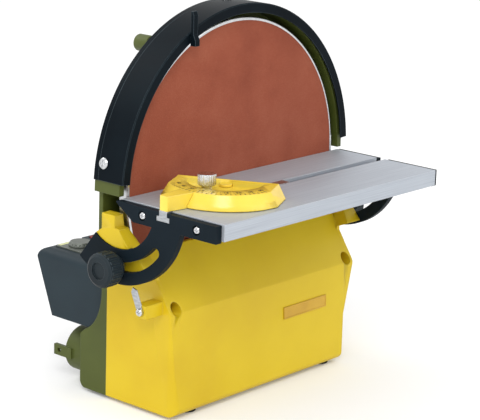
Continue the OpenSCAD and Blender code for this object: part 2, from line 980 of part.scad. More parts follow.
module motor_can() {
    end = motor_end;
    color(steel)
        seat()
            difference() {
                union() {
                    rod_y(-motor_x, motor_z, motor_r, case_end, end);
                    rod_y(-motor_x, motor_z, nose_r - gap, case_y, case_end);
                }
                rod_y(-motor_x, motor_z, motor_shaft_r + running, case_y - over, case_end + motor_r);
                for (i = [0:5])
                    translate([-motor_x, end, motor_z])
                        rotate([90, 60 * i, 0])
                            translate([motor_r * 2 / 3, 0, -over])
                                cylinder(r = motor_r / 9, h = over + wall);
            }
}

module motor_shaft() {
    color(steel)
        seat()
            rod_y(-motor_x, motor_z, motor_shaft_r, pulley_y, case_end + motor_r - gap);
}

// Ribbed pulley rim between two flanges
module pulley(x, z, r, bore, flange) {
    n = 4;
    step = belt_w / n;
    deep = step / 3;
    turned(x, z)
        polygon(concat(
            [[bore, pulley_y], [r + flange, pulley_y], [r + flange, belt_y - running]],
            [for (i = [0:n - 1]) each [
                [r, belt_y + step * i],
                [r - deep, belt_y + step * (i + 1 / 2)]
            ]],
            [[r, belt_y + belt_w], [r + flange, belt_y + belt_w + running], [r + flange, pulley_end]],
            [[bore, pulley_end]]
        ));
}

module motor_pulley() {
    color(steel)
        seat()
            pulley(-motor_x, motor_z, small_r, motor_shaft_r + held, 0);
}

module disc_pulley() {
    spokes = 6;
    hub = shaft_r * 2;
    rim = big_r - belt_room * 2;
    color(black)
        seat()
            difference() {
                pulley(0, axis_z, big_r, shaft_r + held, 0);
                for (i = [1:spokes])
                    translate([0, pulley_end + over, axis_z])
                        rotate([90, 360 * i / spokes, 0])
                            translate([(hub + rim) / 2, 0, 0])
                                cylinder(r = (rim - hub) / 3, h = pulley_w + 2 * over);
            }
}

module drive_belt() {
    color("#1c1f22")
        seat()
            along_y(belt_y, belt_y + belt_w)
                difference() {
                    belt_outline(belt_big_r, belt_small_r);
                    belt_outline(big_r + gap, small_r + gap);
                }
}

module disc_shaft() {
    color(steel)
        seat()
            rod_y(0, axis_z, shaft_r, plate_y + web_t / 2, pulley_end);
}

module bearing(y) {
    ring = (bearing_r - shaft_r) / 4;
    dip = bearing_w / 10;
    turned(0, axis_z)
        polygon([
            [shaft_r + running, y],
            [shaft_r + ring, y],
            [shaft_r + ring, y + dip],
            [bearing_r - ring, y + dip],
            [bearing_r - ring, y],
            [bearing_r, y],
            [bearing_r, y + bearing_w],
            [bearing_r - ring, y + bearing_w],
            [bearing_r - ring, y + bearing_w - dip],
            [shaft_r + ring, y + bearing_w - dip],
            [shaft_r + ring, y + bearing_w],
            [shaft_r + running, y + bearing_w]
        ]);
}

module front_bearing() {
    color(steel)
        seat()
            bearing(bearing_1_y);
}

module rear_bearing() {
    color(steel)
        seat()
            bearing(bearing_2_y);
}

module disc_plate() {
    color(alloy)
        seat()
            difference() {
                turned(0, axis_z)
                    polygon([
                        [0, plate_y],
                        [disc_r, plate_y],
                        [disc_r, rim_y],
                        [disc_r - rim_w, rim_y],
                        [disc_r - rim_w - (rim_t - web_t), web_y],
                        [hub_r + hub_l / 2, web_y],
                        [hub_r, web_y + hub_l / 2],
                        [hub_r, hub_y],
                        [0, hub_y]
                    ]);
                rod_y(0, axis_z, shaft_r + held, plate_y + web_t / 2 - held, hub_y + over);
                rod_z(0, grub_y, grub_r + held, axis_z, axis_z + hub_r + over);
            }
}

module abrasive_disc() {
    color("#9e5a44")
        seat()
            rod_y(0, axis_z, disc_r - gap, face_y, plate_y);
}

module hub_screw() {
    color(steel)
        seat()
            rod_z(0, grub_y, grub_r, axis_z + shaft_r + held, axis_z + hub_r - gap);
}

module guard_band() {
    bead = band_t;
    color(black)
        seat()
            difference() {
                translate([0, 0, axis_z])
                    rotate([-90, 0, 0])
                        rotate([0, 0, 180 + band_end])
                            rotate_extrude(angle = 180 - 2 * band_end, $fn = 128)
                                polygon([
                                    [band_r1 - lip_w, -band_front],
                                    [band_r1 - bead / 2, -band_front],
                                    [band_r1, -band_front + bead / 2],
                                    [band_r1, band_back],
                                    [band_r0, band_back],
                                    [band_r0, -band_front + bead],
                                    [band_r1 - lip_w, -band_front + bead]
                                ]);
                for (a = screw_angles)
                    translate([0, band_screw_y, axis_z])
                        rotate([0, 90 - a, 0])
                            translate([0, 0, drum_in_r])
                                cylinder(r = band_screw_r + held, h = drum_wall + 2 * over);
            }
}

module guard_clip() {
    top_y = -band_front;
    color(black)
        seat()
            along_x(-clip_x - clip_w / 2, -clip_x + clip_w / 2)
                polygon([
                    [top_y, clip_z0],
                    [top_y, clip_z1],
                    [top_y - clip_t / 2, clip_z1],
                    [top_y - clip_t, clip_z1 - clip_t],
                    [top_y - clip_t, clip_z0 + clip_tip_h],
                    [top_y - clip_t - clip_tip_t, clip_z0 + clip_tip_h / 2],
                    [top_y - clip_t - clip_tip_t, clip_z0]
                ]);
}

module guard_screws() {
    color(steel)
        seat()
            for (a = screw_angles)
                translate([0, band_screw_y, axis_z])
                    rotate([0, 90 - a, 0]) {
                        translate([0, 0, drum_in_r + running])
                            cylinder(r = band_screw_r, h = band_r1 - drum_in_r + running);
                        translate([0, 0, band_r1 + running])
                            cylinder(r = band_head_r, h = band_head_t);
                    }
}

module brake_plunger() {
    color(olive)
        seat() {
            rod_y(-brake_x, brake_z, brake_r, rim_y + brake_travel + gap + brake_pad_t, brake_end_y);
            rod_y(-brake_x, brake_z, brake_flange_r, brake_end_y - brake_flange_t, brake_end_y);
        }
}

module brake_pad() {
    pad_y = rim_y + brake_travel + gap;
    color("#2a2a2a")
        seat()
            rod_y(-brake_x, brake_z, brake_pad_r, pad_y, pad_y + brake_pad_t);
}

// Points of the spring's tube: rings along a helix about the plunger
function spring_points() = let (n = spring_turns * spring_rings)
    [for (i = [0:n], k = [0:spring_sides - 1])
        let (
            a = 360 * i / spring_rings,
            b = 360 * k / spring_sides,
            r = spring_r + spring_wire_r * cos(b),
            y = spring_y0 + (spring_y1 - spring_y0) * i / n + spring_wire_r * sin(b)
        )
        [-brake_x + r * cos(a), y, brake_z + r * sin(a)]];

function spring_faces() = let (n = spring_turns * spring_rings, s = spring_sides)
    concat(
        [for (i = [0:n - 1], k = [0:s - 1]) let (m = (k + 1) % s) each [
            [i * s + k, (i + 1) * s + k, (i + 1) * s + m],
            [i * s + k, (i + 1) * s + m, i * s + m]
        ]],
        [for (k = [1:s - 2]) [0, k, k + 1]],
        [for (k = [1:s - 2]) [n * s, n * s + k + 1, n * s + k]]
    );

module brake_spring() {
    color(steel)
        seat()
            polyhedron(spring_points(), spring_faces());
}

module dust_spigot() {
    end = rear_y + port_l;
    color(olive)
        seat()
            difference() {
                union() {
                    rod_y(-port_x, port_z, port_r, rear_y - port_in, end);
                    block(-port_x - port_r - lug_out, -port_x - port_bore_r - gap,
                        end - port_l / 3, end + lug_l, port_z - lug_w / 2, port_z + lug_w / 2);
                }
                rod_y(-port_x, port_z, port_bore_r, rear_y - port_in - over, end + gap);
                rod_x(end + lug_l / 2, port_z, lug_hole_r, -port_x - port_r - over, -port_x);
            }
}

module housing_screws() {
    color(steel)
        seat()
            for (side = [-1, 1]) {
                rod_y(side * access_x, access_z, house_head_r, house_head_y - house_head_t, house_head_y);
                rod_y(side * access_x, access_z, house_screw_r, house_head_y, house_screw_end);
            }
}

module cover_screws() {
    head_y = cover_screw_y + cover_screw_l;
    color(steel)
        seat()
            for (x = cover_screw_xs) {
                rod_y(x, cover_screw_z, cover_screw_r, cover_screw_y - cover_screw_l + gap, head_y);
                rod_y(x, cover_screw_z, cover_head_r, head_y, head_y + cover_head_t);
            }
}

module rubber_feet() {
    color("#1d1f20")
        seat()
            for (x = [-feet_x, feet_x], y = [-feet_front_y, feet_rear_y])
                rod_z(x, y, foot_r, 0, foot_h);
}

module name_plate() {
    lean = atan2(front_y - ridge_y, ridge_z - base_z - base_r);
    color("#cfa22c")
        seat()
            translate([plate_mid_x - plate_l / 2, -ridge_y, ridge_z])
                rotate([-lean, 0, 0])
                    translate([0, -badge_t, -plate_drop - plate_h])
                        cube([plate_l, badge_t, plate_h]);
}

module tilt_pointer() {
    color(steel)
        seat()
            translate([-marker_x - marker_t, -marker_y, marker_z])
                rotate([-marker_lean, 0, 0])
                    rotate([90, 0, 90])
                        linear_extrude(marker_t)
                            difference() {
                                union() {
                                    circle(marker_strip_w / 2);
                                    polygon([
                                        [-marker_strip_w / 2, 0],
                                        [marker_strip_w / 2, 0],
                                        [marker_strip_w / 2, marker_l - marker_strip_w / 2],
                                        [0, marker_l],
                                        [-marker_strip_w / 2, marker_l - marker_strip_w / 2]
                                    ]);
                                }
                                circle(marker_screw_r + held);
                            }
}

module pointer_screw() {
    head_x = -marker_x - marker_t;
    color(steel)
        seat() {
            rod_x(-marker_y, marker_z, marker_head_r, head_x - marker_head_t, head_x);
            rod_x(-marker_y, marker_z, marker_screw_r, head_x, head_x + marker_screw_l);
        }
}

module tilt_studs() {
    head_x = ear_x - wall - stud_head_t;
    color(steel)
        seat()
            sides() {
                rod_x(0, stud_z, stud_head_r, head_x - stud_head_t, head_x);
                rod_x(0, stud_z, stud_r, head_x, stud_end);
            }
}

module tilt_washers() {
    color(steel)
        seat()
            sides()
                difference() {
                    rod_x(0, stud_z, washer_r, washer_x, washer_x + washer_t);
                    rod_x(0, stud_z, stud_r + running, washer_x - over, washer_x + over);
                }
}

module tilt_knob() {
    rib_r = knob_r / 10;
    hub_l = knob_l / 4;
    difference() {
        union() {
            translate([knob_x, 0, stud_z])
                rotate([0, 90, 0])
                    rotate_extrude()
                        polygon([
                            [0, 0],
                            [knob_r * knob_hub_share, 0],
                            [knob_r * knob_hub_share, hub_l],
                            [knob_r - rib_r / 2, hub_l],
                            [knob_r - rib_r / 2, knob_l - rib_r],
                            [knob_r - 2 * rib_r, knob_l],
                            [0, knob_l]
                        ]);
            for (i = [1:knob_ribs])
                translate([knob_x + hub_l + rib_r, 0, stud_z])
                    rotate([360 * i / knob_ribs, 0, 0])
                        translate([0, 0, knob_r - rib_r])
                            rotate([0, 90, 0])
                                cylinder(r = rib_r, h = knob_l - hub_l - 3 * rib_r, $fn = 16);
        }
        rod_x(0, stud_z, stud_r + running, 0, stud_end + gap);
        rod_x(0, stud_z, knob_r / 2, knob_end - rib_r, knob_end + over);
    }
}

module tilt_knob_left() {
    color(black)
        seat()
            mirror([1, 0, 0])
                tilt_knob();
}

module tilt_knob_right() {
    color(black)
        seat()
            tilt_knob();
}

module slot_section() {
    translate([-slot_y - slot_neck_w / 2, table_z - slot_neck_d - running])
        square([slot_neck_w, slot_neck_d + over]);
    translate([-slot_y - slot_foot_w / 2, table_z - slot_deep])
        square([slot_foot_w, slot_foot_d]);
}

module table_top() {
    web = slot_foot_w / 2 + rib_t;
    pitch = (table_l - rib_t) / pocket_n;
    front = table_depth - rib_t;
    rear = bevel_y + rib_t;
    color(alloy)
        seat()
            difference() {
                along_x(-half_l, half_l)
                    difference() {
                        polygon([
                            [0, table_z],
                            [0, table_z - bevel_land],
                            [-bevel_y, table_z - table_t],
                            [-table_depth, table_z - table_t],
                            [-table_depth, table_z]
                        ]);
                        slot_section();
                    }
                for (i = [0:pocket_n - 1], zone = [[-front, -slot_y - web], [-slot_y + web, -rear]])
                    block(-half_l + rib_t + 2 * end_screw_r + pitch * i,
                        -half_l + pitch * (i + 1) - 2 * end_screw_r,
                        zone[0], zone[1], table_z - table_t - over, table_z - table_skin);
                sides()
                    for (y = [end_screw_1_y, end_screw_2_y])
                        rod_x(-y, bar_z + bar_h / 2, end_screw_r + held,
                            half_l - rib_t - end_screw_r, half_l + over);
            }
}

// Arc slot of the segment, from the tilt-up end to the tilt-down end
module segment_slot() {
    a0 = 270 - tilt_down;
    a1 = 270 + tilt_up;
    far = 2 * seg_out_r;
    intersection() {
        difference() {
            circle(seg_slot_r + seg_slot_w / 2);
            circle(seg_slot_r - seg_slot_w / 2);
        }
        polygon([[0, 0], polar(far, a0), polar(far, (a0 + a1) / 2), polar(far, a1)]);
    }
    for (a = [a0, a1])
        translate(polar(seg_slot_r, a))
            circle(seg_slot_w / 2 - running);
}

module segment() {
    a0 = 184;
    a1 = 270 + seg_tail;
    far = 2 * seg_out_r;
    intersection() {
        difference() {
            circle(seg_out_r);
            circle(seg_in_r);
        }
        polygon([
            [0, 0], polar(far, a0), polar(far, a0 + (a1 - a0) / 3),
            polar(far, a0 + (a1 - a0) * 2 / 3), polar(far, a1)
        ]);
    }
}

module end_plate() {
    top = table_z - bar_drop;
    difference() {
        union() {
            along_x(half_l, plate_x)
                polygon([
                    [beak_y, top],
                    [beak_y, top - bevel_land],
                    [-bevel_y, bar_z],
                    [-table_depth + bar_short, bar_z],
                    [-table_depth + bar_short, top]
                ]);
            along_x(half_l, plate_x)
                translate([0, table_z])
                    segment();
        }
        along_x(half_l - over, plate_x + over)
            slot_section();
        along_x(half_l - over, plate_x + over)
            translate([0, table_z])
                segment_slot();
        for (y = [end_screw_1_y, end_screw_2_y]) {
            rod_x(-y, bar_z + bar_h / 2, end_screw_r + held, half_l - over, plate_x + over);
            rod_x(-y, bar_z + bar_h / 2, 2 * end_screw_r + held, plate_x - end_screw_r, plate_x + over);
        }
    }
}

module left_end_plate() {
    color(black)
        seat()
            mirror([1, 0, 0])
                end_plate();
}

module right_end_plate() {
    color(black)
        seat()
            end_plate();
}

module end_plate_screws() {
    head_x = plate_x - end_screw_r;
    color(steel)
        seat()
            sides()
                for (y = [end_screw_1_y, end_screw_2_y]) {
                    rod_x(-y, bar_z + bar_h / 2, 2 * end_screw_r, head_x, plate_x);
                    rod_x(-y, bar_z + bar_h / 2, end_screw_r, half_l - rib_t, head_x);
                }
}

module mitre_bar() {
    color(steel)
        seat()
            difference() {
                along_x(-gauge_x - gauge_bar_left, -gauge_x + gauge_bar_right) {
                    translate([-slot_y - bar_foot_w / 2, bar_foot_z0])
                        square([bar_foot_w, bar_foot_z1 - bar_foot_z0]);
                    translate([-slot_y - bar_neck_w / 2, bar_foot_z0])
                        square([bar_neck_w, bar_top - bar_foot_z0]);
                }
                rod_z(-gauge_x, -slot_y, pivot_r + held, bar_foot_z1, bar_top + over);
                rod_z(-gauge_x - clamp_r, -slot_y, clamp_stud_r + held, bar_foot_z1, bar_top + over);
            }
}

// Turned outline of the protractor, grown by a gap and overrun at its ends
module gauge_turned(room, ends) {
    rise = gauge_z1 - gauge_z0;
    rotate_extrude($fn = 128)
        polygon([
            [0, -ends],
            [gauge_r + room, -ends],
            [gauge_r + room, rise * gauge_base_share],
            each ends > 0 ? [[gauge_top_r + room, rise]] : [],
            [gauge_top_r + room, rise + ends],
            [0, rise + ends]
        ]);
}

module mitre_pointer() {
    tip_x = gauge_x + gauge_top_r - index_over;
    color("#f0d040")
        seat()
            difference() {
                translate([0, -slot_y, bar_top])
                    linear_extrude(gauge_z1 - bar_top)
                        offset(index_r)
                            offset(delta = -index_r)
                                polygon([
                                    [-tip_x, -index_w / 2],
                                    [-tip_x, index_w / 2],
                                    [-index_end_x, index_end_w / 2],
                                    [-index_end_x, -index_end_w / 2]
                                ]);
                translate([-gauge_x, -slot_y, gauge_z0])
                    gauge_turned(gap, over);
            }
}

module mitre_studs() {
    color(steel)
        seat() {
            rod_z(-gauge_x, -slot_y, pivot_r, bar_foot_z1 + held, clamp_z);
            rod_z(-gauge_x, -slot_y, pivot_head_r, clamp_z, clamp_z + pivot_head_t);
            rod_z(-gauge_x - clamp_r, -slot_y, clamp_stud_r, bar_foot_z1 + held,
                clamp_z + clamp_stem_h + clamp_knob_h / 2);
        }
}

module gauge_ring(r0, r1, half, z0, z1) {
    far = 2 * gauge_r;
    translate([0, 0, z0])
        linear_extrude(z1 - z0)
            intersection() {
                difference() {
                    circle(r1);
                    circle(r0);
                }
                polygon([[0, 0], polar(far, 180 - half), [-far, 0], polar(far, 180 + half)]);
            }
}

module mitre_head() {
    rise = gauge_z1 - gauge_z0;
    color("#f0d040")
        seat()
            translate([-gauge_x, -slot_y, gauge_z0])
                rotate([0, 0, gauge_set])
                    difference() {
                        intersection() {
                            gauge_turned(0, 0);
                            block(-gauge_r, gauge_face, -gauge_w, gauge_w, 0, rise);
                        }
                        intersection() {
                            rod_z(0, 0, recess_r, rise - recess_d, rise + over);
                            block(-gauge_r, gauge_face - recess_edge, -gauge_w, gauge_w, 0, rise + over);
                        }
                        gauge_ring(clamp_r - clamp_slot_w / 2, clamp_r + clamp_slot_w / 2, clamp_half,
                            -over, rise + over);
                        rod_z(0, 0, pivot_r + running, -over, rise + over);
                        rod_z(0, 0, pivot_head_r + gap, rise - recess_d, rise + over);
                    }
}

module mitre_knob() {
    knob_z = clamp_z + clamp_stem_h;
    top = knob_z + clamp_knob_h;
    bore_top = knob_z + clamp_knob_h / 2 + gap;
    color(steel)
        seat()
            difference() {
                translate([-gauge_x - clamp_r, -slot_y, 0])
                    rotate_extrude()
                        polygon([
                            [0, clamp_z],
                            [clamp_stem_r, clamp_z],
                            [clamp_stem_r, knob_z],
                            [clamp_knob_r - flute_r, knob_z],
                            [clamp_knob_r, knob_z + flute_r],
                            [clamp_knob_r, top - flute_r],
                            [clamp_knob_r - flute_r, top],
                            [0, top + clamp_dome]
                        ]);
                for (i = [1:clamp_flutes])
                    translate([-gauge_x - clamp_r, -slot_y, knob_z])
                        rotate([0, 0, 360 * i / clamp_flutes])
                            translate([clamp_knob_r + flute_r / 3, 0, -over])
                                cylinder(r = flute_r, h = clamp_knob_h + 2 * over, $fn = 16);
                rod_z(-gauge_x - clamp_r, -slot_y, clamp_stud_r + running, clamp_z - over, bore_top);
            }
}

front_housing();
rear_housing();
belt_cover();
motor_cover();
control_panel();
switch_body();
switch_rocker();
speed_dial();
circuit_board();
motor_can();
motor_shaft();
motor_pulley();
drive_belt();
disc_pulley();
disc_shaft();
front_bearing();
rear_bearing();
disc_plate();
abrasive_disc();
hub_screw();
guard_band();
guard_clip();
guard_screws();
brake_plunger();
brake_pad();
brake_spring();
dust_spigot();
housing_screws();
cover_screws();
rubber_feet();
name_plate();
tilt_pointer();
pointer_screw();
tilt_studs();
tilt_washers();
tilt_knob_left();
tilt_knob_right();
table_top();
left_end_plate();
right_end_plate();
end_plate_screws();
mitre_bar();
mitre_pointer();
mitre_studs();
mitre_head();
mitre_knob();
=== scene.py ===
import json
import math

import bmesh
import bpy
from mathutils import Matrix, Vector
from mathutils.geometry import tessellate_polygon

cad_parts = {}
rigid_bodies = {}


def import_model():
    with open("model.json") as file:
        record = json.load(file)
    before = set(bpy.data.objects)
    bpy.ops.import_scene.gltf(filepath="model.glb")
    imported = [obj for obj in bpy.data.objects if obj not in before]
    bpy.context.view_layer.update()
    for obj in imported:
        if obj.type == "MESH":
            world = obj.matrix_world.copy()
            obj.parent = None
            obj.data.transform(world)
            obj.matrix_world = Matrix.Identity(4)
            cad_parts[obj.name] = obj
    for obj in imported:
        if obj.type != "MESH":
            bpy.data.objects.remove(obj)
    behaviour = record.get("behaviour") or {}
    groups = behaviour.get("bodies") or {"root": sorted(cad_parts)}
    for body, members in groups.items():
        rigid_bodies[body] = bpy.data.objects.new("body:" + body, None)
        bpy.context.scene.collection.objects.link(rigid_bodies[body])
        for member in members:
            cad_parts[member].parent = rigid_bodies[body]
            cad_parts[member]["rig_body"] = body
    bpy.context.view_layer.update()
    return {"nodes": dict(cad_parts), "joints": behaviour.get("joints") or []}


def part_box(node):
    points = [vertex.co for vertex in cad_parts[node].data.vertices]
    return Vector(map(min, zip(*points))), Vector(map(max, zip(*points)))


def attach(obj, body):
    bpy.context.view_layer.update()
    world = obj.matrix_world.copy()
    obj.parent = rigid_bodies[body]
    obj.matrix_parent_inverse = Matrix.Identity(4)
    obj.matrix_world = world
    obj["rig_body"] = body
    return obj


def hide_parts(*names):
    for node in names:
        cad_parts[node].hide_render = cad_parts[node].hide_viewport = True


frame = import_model()
nodes = frame["nodes"]
pivots = {joint["name"]: Vector(joint["pos_m"]) for joint in frame["joints"] if "pos_m" in joint}
scene = bpy.context.scene
scene.view_settings.view_transform = "Standard"
mm = 0.001
print("frame loaded:", len(nodes), "nodes")

photoCamera = {
    "place": (-1.1091, -0.9772, 0.5295),
    "azimuth": -48.94,
    "elevation": 14.62,
    "roll": 1.87,
    "lens": 138.70,
    "sensor": 36.0,
}


def makeCamera(look):
    azimuth, elevation, roll = (math.radians(look[key]) for key in ("azimuth", "elevation", "roll"))
    back = Vector((
        math.sin(azimuth) * math.cos(elevation),
        -math.cos(azimuth) * math.cos(elevation),
        math.sin(elevation),
    ))
    right = Vector((math.cos(azimuth), math.sin(azimuth), 0))
    up = back.cross(right)
    rolledRight = right * math.cos(roll) + up * math.sin(roll)
    rolledUp = up * math.cos(roll) - right * math.sin(roll)
    data = bpy.data.cameras.new("photoCamera")
    data.sensor_fit = "HORIZONTAL"
    data.sensor_width = look["sensor"]
    data.lens = look["lens"]
    camera = bpy.data.objects.new("photoCamera", data)
    scene.collection.objects.link(camera)
    turn = Matrix((rolledRight, rolledUp, back)).transposed().to_4x4()
    camera.matrix_world = Matrix.Translation(look["place"]) @ turn
    scene.camera = camera


makeCamera(photoCamera)
print("camera set")


def linear(code):  # "#rrggbb" as the linear colour that the shaders take
    parts = [int(code[i:i + 2], 16) / 255 for i in (1, 3, 5)]
    return tuple(p / 12.92 if p <= 0.04045 else ((p + 0.055) / 1.055) ** 2.4 for p in parts) + (1.0,)


def put(tree, kind, inputs=None, **settings):  # a node with its settings, values and links in one go
    node = tree.nodes.new(kind)
    for key, value in settings.items():
        setattr(node, key, value)
    for key, value in (inputs or {}).items():
        if isinstance(value, bpy.types.NodeSocket):
            tree.links.new(value, node.inputs[key])
        else:
            node.inputs[key].default_value = value
    return node


studio = {
    "floorSize": 16.0,
    "floorColour": "#F2F2F2",
    "floorGlow": 0.12,
    "skyLight": 0.90,
    "skyShown": 1.0,  # to the camera, where 1 is white
    "aim": (0, 0, 0.15),  # where the lamps point
    "key": {"place": (-1.9, -1.4, 2.2), "size": 1.4, "power": 31.0},
    "fill": {"place": (0.9, -2.6, 1.0), "size": 2.0, "power": 9.0},
    "side": {"place": (-2.6, 0.3, 0.9), "size": 2.0, "power": 7.0},
    "rim": {"place": (-0.6, 2.2, 1.9), "size": 1.6, "power": 14.0},
}
white = (1, 1, 1, 1)


def makeWorld(look):
    world = bpy.data.worlds.new("studioSky")
    scene.world = world
    world.use_nodes = True
    tree = world.node_tree
    tree.nodes.clear()
    path = put(tree, "ShaderNodeLightPath")
    seen = put(tree, "ShaderNodeMath", {0: path.outputs["Is Camera Ray"], 1: path.outputs["Is Glossy Ray"]},
               operation="MAXIMUM")
    seen = put(tree, "ShaderNodeMath", {0: seen.outputs[0], 1: path.outputs["Is Transmission Ray"]},
               operation="MAXIMUM")
    lit = put(tree, "ShaderNodeBackground", {"Color": white, "Strength": look["skyLight"]})
    shown = put(tree, "ShaderNodeBackground", {"Color": white, "Strength": look["skyShown"]})
    mixed = put(tree, "ShaderNodeMixShader", {0: seen.outputs[0], 1: lit.outputs[0], 2: shown.outputs[0]})
    put(tree, "ShaderNodeOutputWorld", {"Surface": mixed.outputs[0]})


def makeFloor(look):
    material = bpy.data.materials.new("paleFloor")
    material.use_nodes = True
    tree = material.node_tree
    tree.nodes.clear()
    path = put(tree, "ShaderNodeLightPath")
    matt = put(tree, "ShaderNodeBsdfDiffuse", {"Color": linear(look["floorColour"])})
    glow = put(tree, "ShaderNodeMath", {0: path.outputs["Is Camera Ray"], 1: look["floorGlow"]},
               operation="MULTIPLY")
    lift = put(tree, "ShaderNodeEmission", {"Color": white, "Strength": glow.outputs[0]})
    both = put(tree, "ShaderNodeAddShader", {0: matt.outputs[0], 1: lift.outputs[0]})
    put(tree, "ShaderNodeOutputMaterial", {"Surface": both.outputs[0]})
    half = look["floorSize"] / 2
    corners = [(-half, -half, 0), (half, -half, 0), (half, half, 0), (-half, half, 0)]
    mesh = bpy.data.meshes.new("floor")
    mesh.from_pydata(corners, [], [(0, 1, 2, 3)])
    floor = bpy.data.objects.new("floor", mesh)
    floor.data.materials.append(material)
    scene.collection.objects.link(floor)


def makeLamp(name, look, aim):
    data = bpy.data.lights.new(name, "AREA")
    data.shape = "DISK"
    data.size = look["size"]
    data.energy = look["power"]
    lamp = bpy.data.objects.new(name, data)
    lamp.location = look["place"]
    way = Vector(aim) - Vector(look["place"])
    lamp.rotation_euler = way.to_track_quat("-Z", "Y").to_euler()
    scene.collection.objects.link(lamp)


makeWorld(studio)
makeFloor(studio)
for lampName in ("key", "fill", "side", "rim"):
    makeLamp(lampName + "Lamp", studio[lampName], studio["aim"])
print("studio lit")


def newFinish(name):
    material = bpy.data.materials.new(name)
    material.use_nodes = True
    tree = material.node_tree
    tree.nodes.clear()
    shader = put(tree, "ShaderNodeBsdfPrincipled")
    put(tree, "ShaderNodeOutputMaterial", {"Surface": shader.outputs[0]})
    place = put(tree, "ShaderNodeTexCoord").outputs["Object"]
    return material, tree, shader, place


def noiseAt(tree, place, scale, detail, roughness=0.55, stretch=None):
    if stretch:
        place = put(tree, "ShaderNodeMapping", {"Vector": place, "Scale": stretch}).outputs[0]
    return put(tree, "ShaderNodeTexNoise", {
        "Vector": place, "Scale": scale, "Detail": detail, "Roughness": roughness,
    }).outputs["Fac"]


def toneRamp(tree, factor, look, stops):  # shade, colour and light by place along the noise
    node = put(tree, "ShaderNodeValToRGB", {"Fac": factor})
    elements = node.color_ramp.elements
    elements.new(stops[1])  # the middle one, since a new ramp has two
    for element, at, tone in zip(elements, stops, ("shade", "colour", "light")):
        element.position = at
        element.color = linear(look[tone])
    return node.outputs["Color"]


def spread(tree, value, low, high, start=0.3, end=0.7):  # low to high, as the value goes start to end
    return put(tree, "ShaderNodeMapRange", {
        "Value": value, "From Min": start, "From Max": end, "To Min": low, "To Max": high,
    }).outputs[0]


mixSockets = {"factor": 0, "first": 6, "second": 7, "result": 2}  # the Mix node's sockets for colours


def mixColour(tree, factor, first, code):
    node = put(tree, "ShaderNodeMix", {
        mixSockets["factor"]: factor, mixSockets["first"]: first, mixSockets["second"]: linear(code),
    }, data_type="RGBA")
    return node.outputs[mixSockets["result"]]


edgePattern = {
    "samples": 6,
    "lean": (0.99, 0.80),  # cosine between the softened and the true normal, where the edge tint starts and where it is full
    "broken": (0.25, 1.0, 0.35, 0.65),  # least and most of the edge tint (rubbed wear and painted highlight), and the noise where each begins
}


def edgeWear(tree, width, spots, amount):  # softened normal, and a broken mask along the edges for rubbed wear and a painted highlight
    soft = put(tree, "ShaderNodeBevel", {"Radius": width}, samples=edgePattern["samples"])
    plain = put(tree, "ShaderNodeNewGeometry")
    along = put(tree, "ShaderNodeVectorMath", {0: soft.outputs[0], 1: plain.outputs["Normal"]},
                operation="DOT_PRODUCT")
    edge = spread(tree, along.outputs["Value"], 0.0, amount, *edgePattern["lean"])
    broken = spread(tree, spots, *edgePattern["broken"])
    wearAndSheen = put(tree, "ShaderNodeMath", {0: edge, 1: broken}, operation="MULTIPLY", use_clamp=True)
    return soft.outputs[0], wearAndSheen.outputs[0]


plainShader = {"metallic": 0.0, "specular": 0.5}  # for a look that gives no other


def finishShader(tree, shader, look, colour, rough, height, cloud):  # edges lightened as rubbed wear and as a painted highlight, grain and gloss
    look = dict(plainShader, **look)
    soft, wearAndSheen = edgeWear(tree, look["edgeWidth"], cloud, look["edgeAmount"])
    # the edge colour is partly rubbed wear and partly a painted highlight along the edges
    colour = mixColour(tree, wearAndSheen, colour, look["edgeColour"])
    bump = put(tree, "ShaderNodeBump", {
        "Height": height, "Strength": look["grainStrength"], "Distance": look["grainHeight"],
        "Normal": soft,
    })
    tree.links.new(colour, shader.inputs["Base Color"])
    tree.links.new(rough, shader.inputs["Roughness"])
    tree.links.new(bump.outputs[0], shader.inputs["Normal"])
    shader.inputs["Metallic"].default_value = look["metallic"]
    shader.inputs["Specular IOR Level"].default_value = look["specular"]


mouldedPattern = {
    "cloudDetail": 5.0, "grainDetail": 3.0, "stops": (0.32, 0.5, 0.7),
    "speck": 0.12, "speckRange": (0.45, 0.75),
}


def mouldedFinish(name, look):  # plastics, paint and rubber: clouded colour with fine specks
    material, tree, shader, place = newFinish(name)
    cloud = noiseAt(tree, place, look["cloudScale"], mouldedPattern["cloudDetail"])
    grain = noiseAt(tree, place, look["grainScale"], mouldedPattern["grainDetail"])
    colour = toneRamp(tree, cloud, look, mouldedPattern["stops"])
    speckAmount = look.get("speck", mouldedPattern["speck"])
    speck = spread(tree, grain, 0.0, speckAmount, *mouldedPattern["speckRange"])
    colour = mixColour(tree, speck, colour, look["shade"])
    rough = spread(tree, cloud, *look["rough"])
    finishShader(tree, shader, look, colour, rough, grain, cloud)
    return material


brushedPattern = {
    "lineScale": 1.0, "lineDetail": 4.0, "lineRough": 0.6, "cloudDetail": 4.0, "stops": (0.3, 0.5, 0.72),
    "roughRange": (0.7, 1.3),  # of the lines and the cloud added together
}


def brushedFinish(name, look):  # metals: fine stretched lines under a light haze
    material, tree, shader, place = newFinish(name)
    lines = noiseAt(tree, place, brushedPattern["lineScale"], brushedPattern["lineDetail"],
                    brushedPattern["lineRough"], look["stretch"])
    cloud = noiseAt(tree, place, look["cloudScale"], brushedPattern["cloudDetail"])
    colour = toneRamp(tree, lines, look, brushedPattern["stops"])
    haze = spread(tree, cloud, 0.0, look["haze"])
    colour = mixColour(tree, haze, colour, look["shade"])
    both = put(tree, "ShaderNodeMath", {0: lines, 1: cloud}, operation="ADD")
    rough = spread(tree, both.outputs[0], *look["rough"], *brushedPattern["roughRange"])
    finishShader(tree, shader, look, colour, rough, lines, cloud)
    return material


